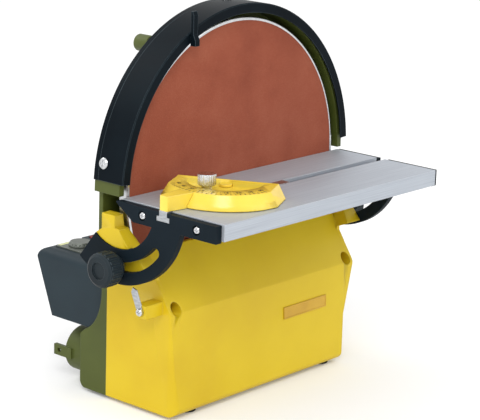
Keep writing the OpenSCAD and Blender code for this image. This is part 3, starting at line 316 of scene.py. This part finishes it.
abrasivePattern = {
    "cloudDetail": 5.0, "cloudRough": 0.6, "patchDetail": 3.0, "stops": (0.3, 0.5, 0.72),
    "fineDetail": 2.0, "fineFactor": 1.7,  # the fine grit's scale over the coarse grit's
    # how much of each tone, and the part of its noise over which that runs
    "patch": (0.0, 0.35, 0.45, 0.7), "pit": (0.0, 0.45, 0.42, 0.7), "glint": (0.3, 0.0, 0.05, 0.3),
}


def abrasiveFinish(name, look):  # coarse and fine grit on a clouded red-brown sheet
    material, tree, shader, place = newFinish(name)
    cloud = noiseAt(tree, place, look["cloudScale"], abrasivePattern["cloudDetail"],
                    abrasivePattern["cloudRough"])
    patch = noiseAt(tree, place, look["patchScale"], abrasivePattern["patchDetail"])
    coarse = put(tree, "ShaderNodeTexVoronoi", {"Vector": place, "Scale": look["grainScale"]})
    fine = noiseAt(tree, place, look["grainScale"] * abrasivePattern["fineFactor"],
                   abrasivePattern["fineDetail"])
    colour = toneRamp(tree, cloud, look, abrasivePattern["stops"])
    for tone, noise in (("patch", patch), ("pit", fine), ("glint", coarse.outputs["Distance"])):
        colour = mixColour(tree, spread(tree, noise, *abrasivePattern[tone]), colour, look[tone])
    rough = spread(tree, fine, *look["rough"])
    finishShader(tree, shader, look, colour, rough, fine, cloud)
    return material


# each look's edgeColour is a lighter tint laid along the edges: partly rubbed wear, partly a painted
# highlight
yellowLook = {
    "colour": "#D8BA1A", "shade": "#D1B016", "light": "#DEC122", "edgeColour": "#E8CF46",
    "cloudScale": 9.0, "grainScale": 1400.0, "grainStrength": 0.25, "grainHeight": 0.00006,
    "rough": (0.34, 0.44), "specular": 0.32, "edgeWidth": 0.0016, "edgeAmount": 0.5, "speck": 0.08,
}
oliveLook = {
    "colour": "#4C5521", "shade": "#454D1E", "light": "#545D27", "edgeColour": "#6C763C",
    "cloudScale": 11.0, "grainScale": 1300.0, "grainStrength": 0.3, "grainHeight": 0.00007,
    "rough": (0.42, 0.52), "specular": 0.28, "edgeWidth": 0.0012, "edgeAmount": 0.5,
}
blackLook = {
    "colour": "#222F36", "shade": "#1D2930", "light": "#27353C", "edgeColour": "#3C4A51",
    "cloudScale": 14.0, "grainScale": 1500.0, "grainStrength": 0.4, "grainHeight": 0.00008,
    "rough": (0.42, 0.54), "specular": 0.20, "edgeWidth": 0.0010, "edgeAmount": 0.5,
}
guardLook = dict(blackLook, colour="#0B1319", shade="#080F14", light="#0F191F", edgeColour="#6D7C84",
                 specular=0.05, rough=(0.34, 0.44), edgeWidth=0.0008, edgeAmount=0.7, grainScale=1900.0)
plateLook = dict(blackLook, colour="#111B22", shade="#0E171D", light="#152028", edgeColour="#2F3C44",
                 specular=0.08, grainScale=900.0, grainHeight=0.0001)
knobLook = dict(blackLook, colour="#1C262B", shade="#161E23", light="#222D33", edgeColour="#65737A",
                edgeAmount=0.65, edgeWidth=0.0007)
gaugeLook = {
    "colour": "#F5D446", "shade": "#EFCC3C", "light": "#F8DC56", "edgeColour": "#F9E78C",
    "cloudScale": 16.0, "grainScale": 1700.0, "grainStrength": 0.25, "grainHeight": 0.00005,
    "rough": (0.20, 0.28), "specular": 0.60, "edgeWidth": 0.0011, "edgeAmount": 0.55, "speck": 0.06,
}
amberLook = {
    "colour": "#CDA12B", "shade": "#C39626", "light": "#D6AC36", "edgeColour": "#E2C25C",
    "cloudScale": 30.0, "grainScale": 2200.0, "grainStrength": 0.2, "grainHeight": 0.00003,
    "rough": (0.38, 0.48), "specular": 0.45, "edgeWidth": 0.0005, "edgeAmount": 0.4,
}
rubberLook = {
    "colour": "#1F1F1F", "shade": "#181818", "light": "#272727", "edgeColour": "#3A3A3A",
    "cloudScale": 40.0, "grainScale": 1600.0, "grainStrength": 0.5, "grainHeight": 0.0001,
    "rough": (0.72, 0.86), "specular": 0.3, "edgeWidth": 0.0006, "edgeAmount": 0.4,
}
redLook = {
    "colour": "#9A2F25", "shade": "#8C2A21", "light": "#A8382C", "edgeColour": "#C0584A",
    "cloudScale": 60.0, "grainScale": 2400.0, "grainStrength": 0.15, "grainHeight": 0.00003,
    "rough": (0.22, 0.32), "specular": 0.5, "edgeWidth": 0.0005, "edgeAmount": 0.4,
}
boardLook = {
    "colour": "#2E6B3D", "shade": "#265C33", "light": "#387A48", "edgeColour": "#8FA060",
    "cloudScale": 80.0, "grainScale": 1800.0, "grainStrength": 0.3, "grainHeight": 0.00004,
    "rough": (0.34, 0.5), "specular": 0.5, "edgeWidth": 0.0003, "edgeAmount": 0.5,
}
tableLook = {
    "colour": "#BBC1C9", "shade": "#AEB4BD", "light": "#C6CCD3", "edgeColour": "#E6E9EC",
    "stretch": (14.0, 1500.0, 1500.0), "cloudScale": 12.0, "haze": 0.25,
    "grainStrength": 0.30, "grainHeight": 0.00003, "rough": (0.54, 0.66), "metallic": 0.62,
    "edgeWidth": 0.0007, "edgeAmount": 0.8,
}
castLook = dict(tableLook, colour="#C9CBCD", shade="#B4B7BA", light="#DADCDD", edgeColour="#EFF0F0",
                stretch=(700.0, 60.0, 700.0), rough=(0.28, 0.42), metallic=1.0)
steelLook = dict(tableLook, colour="#B7BABD", shade="#A0A4A8", light="#CCCED0", edgeColour="#E4E6E8",
                 stretch=(900.0, 200.0, 900.0), rough=(0.26, 0.38), metallic=1.0, edgeWidth=0.0004)
panelLook = dict(tableLook, colour="#6E726C", shade="#62665F", light="#7B7F79", edgeColour="#A5A9A3",
                 stretch=(30.0, 2200.0, 400.0), rough=(0.40, 0.52), metallic=0.6, edgeWidth=0.0005)
chromeLook = dict(tableLook, colour="#D5D6D8", shade="#C2C4C7", light="#E4E5E6", edgeColour="#F2F2F3",
                  stretch=(500.0, 500.0, 500.0), rough=(0.14, 0.24), metallic=1.0, grainHeight=0.000012,
                  edgeWidth=0.0004)
abrasiveLook = {
    "colour": "#9A523C", "shade": "#8E4935", "light": "#A35C45", "patch": "#884531", "pit": "#783827",
    "glint": "#B67E66", "edgeColour": "#7A4030", "cloudScale": 26.0, "patchScale": 9.0, "grainScale": 900.0,
    "grainStrength": 0.6, "grainHeight": 0.00025, "rough": (0.80, 0.95), "specular": 0.25,
    "edgeWidth": 0.0005, "edgeAmount": 0.5,
}

finishes = {
    "yellow_housing": mouldedFinish("yellowHousing", yellowLook),
    "olive_housing": mouldedFinish("oliveHousing", oliveLook),
    "black_plastic": mouldedFinish("blackCover", blackLook),
    "guard_black": mouldedFinish("guardPaint", guardLook),
    "plate_black": mouldedFinish("endPlate", plateLook),
    "knob_black": mouldedFinish("ribbedKnob", knobLook),
    "gauge_yellow": mouldedFinish("gaugeYellow", gaugeLook),
    "amber_plate": mouldedFinish("amberPlate", amberLook),
    "rubber": mouldedFinish("rubberFoot", rubberLook),
    "switch_red": mouldedFinish("rockerRed", redLook),
    "board": mouldedFinish("circuitBoard", boardLook),
    "table_alloy": brushedFinish("milledTable", tableLook),
    "cast_alloy": brushedFinish("turnedDisc", castLook),
    "steel": brushedFinish("machinedSteel", steelLook),
    "panel_plate": brushedFinish("controlPlate", panelLook),
    "screw_chrome": brushedFinish("brightScrew", chromeLook),
    "knob_chrome": brushedFinish("chromeKnob", chromeLook),
    "abrasive": abrasiveFinish("abrasiveSheet", abrasiveLook),
}
# nodes whose finish is not the one that their slot names
ownFinish = {"mitre_pointer": "gauge_yellow", "mitre_studs": "gauge_yellow", "speed_dial": "panel_plate"}
for nodeName, node in nodes.items():
    for slot in node.material_slots:
        slotName = ownFinish.get(nodeName, slot.material.name.split(".")[0])
        slot.material = finishes[slotName]
print("finishes on", len(nodes), "nodes")

inkLook = {
    "cloudScale": 300.0, "grainScale": 3000.0, "grainStrength": 0.1, "grainHeight": 0.00001,
    "rough": (0.45, 0.6), "specular": 0.3, "edgeWidth": 0.0001, "edgeAmount": 0.0,
}


def printFinish(name, code):  # printed marks: one tone, a little uneven in gloss
    tones = dict.fromkeys(("colour", "shade", "light", "edgeColour"), code)
    return mouldedFinish(name, dict(inkLook, **tones))


inkDark = printFinish("darkInk", "#3B3116")
inkPale = printFinish("paleInk", "#D9DCA6")
inkSilver = printFinish("silverInk", "#CDD2DC")


def addPiece(name, mesh, finish, body, stands=()):
    piece = bpy.data.objects.new(name, mesh)
    mesh.materials.append(finish)
    scene.collection.objects.link(piece)
    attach(piece, body)
    if stands:
        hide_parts(*stands)


def meshFrom(bm, name):
    bmesh.ops.recalc_face_normals(bm, faces=bm.faces)
    mesh = bpy.data.meshes.new(name)
    bm.to_mesh(mesh)
    bm.free()
    return mesh


def circle(radius, count):
    angles = [2 * math.pi * i / count for i in range(count)]
    return [(radius * math.cos(angle), radius * math.sin(angle)) for angle in angles]


def steps(first, last, count):  # even values from first to last
    return [first + (last - first) * i / count for i in range(count + 1)]


def bridge(bm, first, second):  # faces from one ring of points to the next
    count = len(first)
    for i in range(count):
        j = (i + 1) % count
        bm.faces.new((first[i], first[j], second[j], second[i]))


def loft(bm, rings, closed=False):  # a skin over the rings, joined round or with a face at each end
    for first, second in zip(rings, rings[1:]):
        bridge(bm, first, second)
    if closed:
        bridge(bm, rings[-1], rings[0])
    else:
        bm.faces.new(rings[0])
        bm.faces.new(list(reversed(rings[-1])))


def addSlab(bm, corners, bottom, top):  # a thin raised mark over a flat outline
    loft(bm, [[bm.verts.new((x, y, z)) for x, y in corners] for z in (bottom, top)])


cadWeld = 0.001 * mm  # points nearer than this are one
turnedWeld = 0.0001 * mm


def copyOf(nodeName):  # a CAD node's mesh as a bmesh of its own, with its seams closed
    bm = bmesh.new()
    bm.from_mesh(nodes[nodeName].data)
    bmesh.ops.remove_doubles(bm, verts=bm.verts, dist=cadWeld)
    return bm


def shadeByAngle(mesh, degrees=28):  # smooth, but crisp along edges that turn more than this
    mesh.polygons.foreach_set("use_smooth", [True] * len(mesh.polygons))
    mesh.set_sharp_from_angle(angle=math.radians(degrees))


def prism(profile, x0, x1):  # a side profile of (y, z) run along x
    bm = bmesh.new()
    loft(bm, [[bm.verts.new((x, y, z)) for y, z in profile] for x in (x0, x1)])
    return meshFrom(bm, "cutter")


# (radius, y) points turned about an axis along y
def spin(profile, centre, segments, start=0.0, end=360.0):
    bm = bmesh.new()
    whole = end - start >= 360.0
    rings = []
    for i in range(segments if whole else segments + 1):
        angle = math.radians(start + (end - start) * i / segments)
        rings.append([bm.verts.new((centre.x + r * math.cos(angle), y, centre.z + r * math.sin(angle)))
                      for r, y in profile])
    loft(bm, rings, whole)
    bmesh.ops.remove_doubles(bm, verts=bm.verts, dist=turnedWeld)
    return meshFrom(bm, "turned")


def evaluated(data, addModifiers=None):  # the mesh that a curve, or a mesh under modifiers, comes out as
    holder = bpy.data.objects.new("holder", data)
    scene.collection.objects.link(holder)
    if addModifiers:
        addModifiers(holder)
    made = bpy.data.meshes.new_from_object(holder.evaluated_get(bpy.context.evaluated_depsgraph_get()))
    bpy.data.objects.remove(holder)
    return made


shellShading = {"angle": 14, "weight": 100}  # degrees, and how much the large faces count


def combine(mesh, tools):  # joins and cuts in turn, then shading that keeps the flats flat
    parts = []

    def addBooleans(holder):
        for operation, tool in tools:
            part = bpy.data.objects.new("tool", tool)
            scene.collection.objects.link(part)
            parts.append(part)
            step = holder.modifiers.new("step", "BOOLEAN")
            step.operation = operation
            step.solver = "EXACT"
            step.object = part

    def addWeights(holder):
        weights = holder.modifiers.new("weights", "WEIGHTED_NORMAL")
        weights.keep_sharp = True
        weights.weight = shellShading["weight"]

    mesh = evaluated(mesh, addBooleans)
    for part in parts:
        bpy.data.objects.remove(part)
    shadeByAngle(mesh, shellShading["angle"])
    return evaluated(mesh, addWeights)


def addDigits(bm, words, look, place):  # numerals as a raised mesh, put by a matrix
    curve = bpy.data.curves.new("digits", "FONT")
    curve.body = words
    curve.size = look["digitSize"]
    curve.extrude = (look["rise"] + look["sink"]) / 2
    curve.resolution_u = look["digitCurve"]
    curve.align_x = "CENTER"
    curve.align_y = "CENTER"
    raised = evaluated(curve)
    raised.transform(place)
    bm.from_mesh(raised)
    bpy.data.meshes.remove(raised)
    bpy.data.curves.remove(curve)


discAxis = pivots["disc_spin"]
tableAxis = pivots["table_tilt"]
gaugeAxis = pivots["gauge_turn"]
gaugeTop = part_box("mitre_head")[1].z
gaugeFacing = 27.0  # degrees that the fence is turned to at rest
gaugeScale = {
    "reach": 60, "step": 5, "longStep": 15,
    "outer": 44.0 * mm, "short": 2.4 * mm, "long": 3.6 * mm, "width": 0.55 * mm,
    "digitRadius": 37.4 * mm, "digitSize": 4.6 * mm, "digitCurve": 3, "rise": 0.12 * mm, "sink": 0.04 * mm,
}


def makeGaugeScale(look):
    middle = math.radians(gaugeFacing + 180)
    base = gaugeAxis.to_2d()
    lift = gaugeTop + (look["rise"] - look["sink"]) / 2
    bm = bmesh.new()
    for angle in range(-look["reach"], look["reach"] + 1, look["step"]):
        way = middle + math.radians(angle)
        out = Vector((math.cos(way), math.sin(way)))
        side = Vector((-out.y, out.x)) * look["width"] / 2
        isLong = angle % look["longStep"] == 0
        inner = look["outer"] - (look["long"] if isLong else look["short"])
        near, far = base + out * inner, base + out * look["outer"]
        corners = [near - side, far - side, far + side, near + side]
        addSlab(bm, corners, gaugeTop - look["sink"], gaugeTop + look["rise"])
        if isLong:
            spot = base + out * look["digitRadius"]
            turn = Matrix.Rotation(way + math.radians(90), 4, "Z")
            addDigits(bm, str(abs(angle)), look, Matrix.Translation((spot.x, spot.y, lift)) @ turn)
    addPiece("gauge_scale", meshFrom(bm, "gaugeScale"), inkDark, "gauge_head")


makeGaugeScale(gaugeScale)
print("gauge scale on")

# apart from near, lengths are shares of the head's radius or height
screwLook = {
    "segments": 48, "headShare": 1.0, "chamfer": 0.22, "rimShare": 0.98, "near": 0.01 * mm,
    "armLong": 0.58, "armWide": 0.16, "recess": 0.55, "recessFloor": 0.8,
}
endScrewLook = dict(screwLook, headShare=0.7)


def looseParts(nodeName):  # the points of each separate solid in one node
    bm = copyOf(nodeName)
    solids = []
    found = set()
    for start in bm.verts:
        if start in found:
            continue
        found.add(start)
        points, front = [], [start]
        while front:
            vert = front.pop()
            points.append(vert.co.copy())
            fresh = {edge.other_vert(vert) for edge in vert.link_edges} - found
            found |= fresh
            front += fresh
        solids.append(points)
    bm.free()
    return solids


def crossOutline(reach, half):  # one arm, turned to all four sides
    arm = [(reach, -half), (reach, half), (half, half)]
    outline = []
    for quarter in range(4):
        outline += arm
        arm = [(-y, x) for x, y in arm]
    return outline


def addCrossHead(bm, seat, axis, radius, height, shank, length, look):
    place = Matrix.Translation(seat) @ axis.to_track_quat("Z", "Y").to_matrix().to_4x4()
    count = look["segments"]
    cut = radius * look["chamfer"]
    rim = radius - cut
    profile = ((shank, -length), (shank, 0.0), (radius, 0.0), (radius, height - cut), (rim, height))
    rings = [[bm.verts.new(place @ Vector((x, y, z))) for x, y in circle(r, count)] for r, z in profile]
    for first, second in zip(rings, rings[1:]):
        bridge(bm, first, second)
    bm.faces.new(list(reversed(rings[0])))
    cross = crossOutline(radius * look["armLong"], radius * look["armWide"])
    deep = height * (1 - look["recess"])
    narrow = look["recessFloor"]
    mouth = [bm.verts.new(place @ Vector((x, y, height))) for x, y in cross]
    floor = [bm.verts.new(place @ Vector((x * narrow, y * narrow, deep))) for x, y in cross]
    bridge(bm, mouth, floor)
    bm.faces.new(floor)
    outline = [Vector((x, y, 0)) for x, y in circle(rim, count)]
    hole = [Vector((x, y, 0)) for x, y in reversed(cross)]
    points = rings[-1] + list(reversed(mouth))
    for triangle in tessellate_polygon([outline, hole]):
        bm.faces.new([points[i] for i in triangle])


def makeScrews(nodeName, axisOf, look):  # heads with a cross recess, where the solid screws are
    bm = bmesh.new()
    for spots in looseParts(nodeName):
        middle = Vector([(min(row) + max(row)) / 2 for row in zip(*spots)])
        axis = axisOf(middle).normalized()
        along = [(p - middle).dot(axis) for p in spots]
        off = [(p - middle - axis * a).length for p, a in zip(spots, along)]
        radius = max(off)
        headBase = min(a for a, o in zip(along, off) if o > radius * look["rimShare"])
        shank = max(o for a, o in zip(along, off) if a < headBase - look["near"])
        addCrossHead(bm, middle + axis * headBase, axis, radius * look["headShare"],
                     max(along) - headBase, shank, headBase - min(along), look)
    addPiece(nodeName + "_cross", meshFrom(bm, nodeName + "Cross"), finishes["screw_chrome"],
             nodes[nodeName]["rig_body"], [nodeName])


makeScrews("end_plate_screws", lambda spot: Vector((math.copysign(1, spot.x), 0, 0)), endScrewLook)
makeScrews("pointer_screw", lambda spot: Vector((-1, 0, 0)), screwLook)
makeScrews("guard_screws", lambda spot: Vector((spot.x, 0, spot.z - discAxis.z)), screwLook)
makeScrews("cover_screws", lambda spot: Vector((0, 1, 0)), screwLook)
makeScrews("housing_screws", lambda spot: Vector((0, -1, 0)), screwLook)
print("screw heads on")

frontShape = {
    # the solid's front corners, its ridge, and its lip under the table
    "halfWidth": 114.0 * mm, "corner": 8.0 * mm, "cornerY": -40.0 * mm, "cornerSteps": 6,
    "ridgeY": -43.0 * mm, "ridgeZ": 87.0 * mm, "lipY": -12.5 * mm, "lipZ": 112.0 * mm, "wall": 3.5 * mm,
    "lipRise": 20.0 * mm, "sink": 1.0 * mm,  # the hood goes up, and down into the solid
    # what each ear loses below its segment
    "segmentRoom": 65.0 * mm, "arcSteps": 24, "sideX": 114.02 * mm, "outX": 142.0 * mm,
    "cutLow": 97.2 * mm, "cutFront": -45.0 * mm, "cutBack": 40.0 * mm,
    # what would stand above the slope in front of each ear
    "finX": 110.3 * mm, "finFront": -38.0 * mm, "finBack": -26.5 * mm, "finLift": 0.3 * mm,
    # way through the hood to each housing screw
    "holeX": 106.0 * mm, "holeZ": 90.0 * mm, "holeRadius": 5.3 * mm, "holeSides": 48,
    "holeFront": -60.0 * mm, "holeBack": -20.0 * mm,
}


def slopeHeight(look, y, lift):  # the slope from the ridge up to the lip, with the lip lifted
    share = (y - look["ridgeY"]) / (look["lipY"] - look["ridgeY"])
    return look["ridgeZ"] + (look["lipZ"] + lift - look["ridgeZ"]) * share


def slopeHood(look):  # wedge that makes the slope under the table steeper
    rows = []
    for y in steps(look["ridgeY"], look["cornerY"], look["cornerSteps"]):
        bend = math.sqrt(look["corner"] ** 2 - (look["cornerY"] - y) ** 2)
        rows.append((y, look["halfWidth"] - look["corner"] + bend))
    rows += [(look["lipY"], look["halfWidth"]), (look["lipY"] + look["wall"], look["halfWidth"])]
    bm = bmesh.new()
    rings = []
    for y, wide in rows:
        upTo = min(y, look["lipY"])
        low = slopeHeight(look, upTo, 0.0) - look["sink"]
        top = slopeHeight(look, upTo, look["lipRise"])
        corners = ((-wide, low), (wide, low), (wide, top), (-wide, top))
        rings.append([bm.verts.new((x, y, z)) for x, z in corners])
    loft(bm, rings)
    return meshFrom(bm, "slopeHood")


def segmentArc(look, first, last):  # side points on an arc round the table's axis, clear of its segments
    return [(y, tableAxis.z - math.sqrt(look["segmentRoom"] ** 2 - (y - tableAxis.y) ** 2))
            for y in steps(first, last, look["arcSteps"])]


def makeFrontHousing(look):  # a steeper slope under the table, and ears that end behind their segments
    under = [(look["cutFront"], look["cutLow"]), (look["cutBack"], look["cutLow"])]
    under += segmentArc(look, look["cutBack"], look["cutFront"])
    fin = [(y, slopeHeight(look, y, look["lipRise"]) + look["finLift"])
           for y in (look["finFront"], look["finBack"])]
    fin += segmentArc(look, look["finBack"], look["finFront"])
    hole = [(0.0, look["holeFront"]), (look["holeRadius"], look["holeFront"]),
            (look["holeRadius"], look["holeBack"]), (0.0, look["holeBack"])]
    tools = [("UNION", slopeHood(look))]
    for side in (-1, 1):
        holeAxis = Vector((side * look["holeX"], 0, look["holeZ"]))
        tools.append(("DIFFERENCE", prism(under, side * look["outX"], side * look["sideX"])))
        tools.append(("DIFFERENCE", prism(fin, side * look["outX"], side * look["finX"])))
        tools.append(("DIFFERENCE", spin(hole, holeAxis, look["holeSides"])))
    mesh = combine(meshFrom(copyOf("front_housing"), "frontHousing"), tools)
    addPiece("front_housing_shell", mesh, finishes["yellow_housing"], "frame",
             ["front_housing"])


makeFrontHousing(frontShape)

headShape = {
    "half": 40.5 * mm, "topRadius": 45.0 * mm, "near": 0.15 * mm,
    "flare": 6.0 * mm, "base": 179.02 * mm,  # how far the bevel goes out, and the height where it ends
}


def makeGaugeHead(look):  # the head's bevel runs round its two ends as well
    base = gaugeAxis.to_2d()
    facing = math.radians(gaugeFacing)
    ahead = Vector((math.cos(facing), math.sin(facing)))
    aside = Vector((-ahead.y, ahead.x))
    bm = copyOf("mitre_head")
    for vert in bm.verts:
        flat = vert.co.to_2d() - base
        out, deep = flat.dot(aside), flat.dot(ahead)
        if abs(abs(out) - look["half"]) > look["near"]:
            continue
        share = min(1.0, (gaugeTop - vert.co.z) / (gaugeTop - look["base"]))
        wide = look["half"] + look["flare"] * share
        if deep < 0:
            deep = -math.sqrt((look["topRadius"] + look["flare"] * share) ** 2 - wide ** 2)
        vert.co.xy = base + aside * math.copysign(wide, out) + ahead * deep
    mesh = meshFrom(bm, "gaugeHead")
    shadeByAngle(mesh)
    addPiece("mitre_head_bevelled", mesh, finishes["gauge_yellow"], "gauge_head",
             ["mitre_head"])


makeGaugeHead(headShape)
print("front housing and gauge head on")

discLip = {
    "inner": 122.7 * mm, "outer": 124.95 * mm, "rise": 0.25 * mm, "sink": 0.3 * mm, "round": 0.5 * mm,
    "segments": 240,
}


def makeDiscLip(look):  # bright turned lip round the sheet
    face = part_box("abrasive_disc")[0].y
    front, back = face - look["rise"], face + look["sink"]
    profile = [(look["inner"], back), (look["inner"], face), (look["inner"] + look["round"], front),
               (look["outer"] - look["round"], front), (look["outer"], face), (look["outer"], back)]
    mesh = spin(profile, discAxis, look["segments"])
    shadeByAngle(mesh)
    addPiece("disc_lip", mesh, finishes["screw_chrome"], "disc")


guardEdge = {
    "inner": 136.05 * mm, "outer": 137.68 * mm, "long": 5.4 * mm, "round": 0.6 * mm,
    "clear": 3.9, "segments": 160,  # clear is in degrees, above the level of the disc's axis
}


def makeGuardEdge(look):  # the band's rear edge, drawn over the casing's rim
    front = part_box("guard_band")[1].y
    back = front + look["long"]
    profile = [(look["inner"], front), (look["inner"], back), (look["outer"] - look["round"], back),
               (look["outer"], back - look["round"]), (look["outer"], front)]
    mesh = spin(profile, discAxis, look["segments"], look["clear"], 180 - look["clear"])
    shadeByAngle(mesh)
    addPiece("guard_rear_edge", mesh, finishes["guard_black"], "frame")


brakeSleeve = {
    "inner": 6.2 * mm, "outer": 6.9 * mm, "long": 14.3 * mm, "cap": 0.15 * mm, "solid": 3.0 * mm,
    "round": 0.9 * mm, "bulge": 0.27 * mm, "segments": 48,
}


def makeBrakeSleeve(look):  # plain cap over the brake's spring
    low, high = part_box("brake_plunger")
    centre = (low + high) / 2
    end, start = high.y + look["cap"], high.y - look["long"]
    under = high.y - look["solid"]
    profile = [(0.0, end), (look["outer"] - look["round"], end),
               (look["outer"] - look["bulge"], end - look["bulge"]), (look["outer"], end - look["round"]),
               (look["outer"], start), (look["inner"], start), (look["inner"], under), (0.0, under)]
    mesh = spin(profile, centre, look["segments"])
    shadeByAngle(mesh)
    addPiece("brake_cap", mesh, finishes["olive_housing"], "brake")


brakeSpring = {
    "radius": 5.55 * mm, "wire": 0.5 * mm, "room": 4.0 * mm,
    "turns": 5, "rings": 20, "sides": 8, "smoothAngle": 50,
}


def makeBrakeSpring(look):  # the coil as it is pressed in, so that the cap has room for its stroke
    low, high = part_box("brake_spring")
    centre = (low + high) / 2
    start, end = low.y + look["wire"], high.y - look["room"] - look["wire"]
    bm = bmesh.new()
    rings = []
    for i, y in enumerate(steps(start, end, look["turns"] * look["rings"])):
        angle = 2 * math.pi * i / look["rings"]
        out = Vector((math.cos(angle), 0, math.sin(angle)))
        spot = Vector((centre.x, y, centre.z)) + out * look["radius"]
        rings.append([bm.verts.new(spot + out * away + Vector((0, along, 0)))
                      for away, along in circle(look["wire"], look["sides"])])
    loft(bm, rings)
    mesh = meshFrom(bm, "brakeSpring")
    shadeByAngle(mesh, look["smoothAngle"])
    addPiece("brake_coil", mesh, finishes["steel"], nodes["brake_spring"]["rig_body"],
             ["brake_spring"])


makeDiscLip(discLip)
makeGuardEdge(guardEdge)
makeBrakeSleeve(brakeSleeve)
makeBrakeSpring(brakeSpring)
print("disc lip, guard edge, brake cap and coil on")

panelMarks = {
    "rise": 0.12 * mm, "sink": 0.04 * mm,
    # left, right, front and back as shares of the plate
    "pale": [(0.02, 0.31, 0.90, 0.985), (0.57, 0.98, 0.90, 0.985)],
    "silver": [(0.05, 0.98, 0.22, 0.31), (0.14, 0.98, 0.06, 0.12),
               (0.60, 0.98, 0.62, 0.72), (0.60, 0.98, 0.44, 0.50)],
}


def makePanelMarks(look):
    low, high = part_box("control_panel")
    size = high - low
    for name, finish in (("pale", inkPale), ("silver", inkSilver)):
        bm = bmesh.new()
        for left, right, front, back in look[name]:
            corners = [(low.x + size.x * across, low.y + size.y * along)
                       for across, along in ((left, front), (right, front), (right, back), (left, back))]
            addSlab(bm, corners, high.z - look["sink"], high.z + look["rise"])
        addPiece("panel_marks_" + name, meshFrom(bm, "panelMarks" + name), finish, "frame")


makePanelMarks(panelMarks)

plateRim = {
    "width": 0.9 * mm, "rise": 0.35 * mm, "sink": 0.1 * mm,
    "outerEdge": 0.6, "innerEdge": 0.4,  # shares of the rise
    "flatFrom": 0.3, "flatTo": 0.7,  # shares of the width
    "near": 0.01 * mm, "cornerReach": 0.3,  # how a corner of the plate is found
}


def makePlateRim(look):  # slim lip round the bare plate
    points = [v.co for v in nodes["name_plate"].data.vertices]
    low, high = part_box("name_plate")
    reach = (high.z - low.z) * look["cornerReach"]
    outer = []
    for x, z in ((low.x, low.z), (high.x, low.z), (high.x, high.z), (low.x, high.z)):
        atCorner = [p for p in points if abs(p.x - x) < look["near"] and abs(p.z - z) < reach]
        outer.append(min(atCorner, key=lambda p: p.y))
    across = (outer[1] - outer[0]).normalized()
    rise = (outer[3] - outer[0]).normalized()
    out = across.cross(rise).normalized()
    signs = ((1, 1), (-1, 1), (-1, -1), (1, -1))
    inner = [p + (across * sx + rise * sz) * look["width"] for p, (sx, sz) in zip(outer, signs)]
    profile = (
        (0.0, -look["sink"]), (0.0, look["rise"] * look["outerEdge"]),
        (look["flatFrom"], look["rise"]), (look["flatTo"], look["rise"]),
        (1.0, look["rise"] * look["innerEdge"]), (1.0, -look["sink"]),
    )
    bm = bmesh.new()
    rings = [[bm.verts.new(p.lerp(q, share) + out * height) for p, q in zip(outer, inner)]
             for share, height in profile]
    loft(bm, rings, True)
    addPiece("plate_rim", meshFrom(bm, "plateRim"), finishes["amber_plate"], "frame")


makePlateRim(plateRim)
print("panel marks and plate rim on")
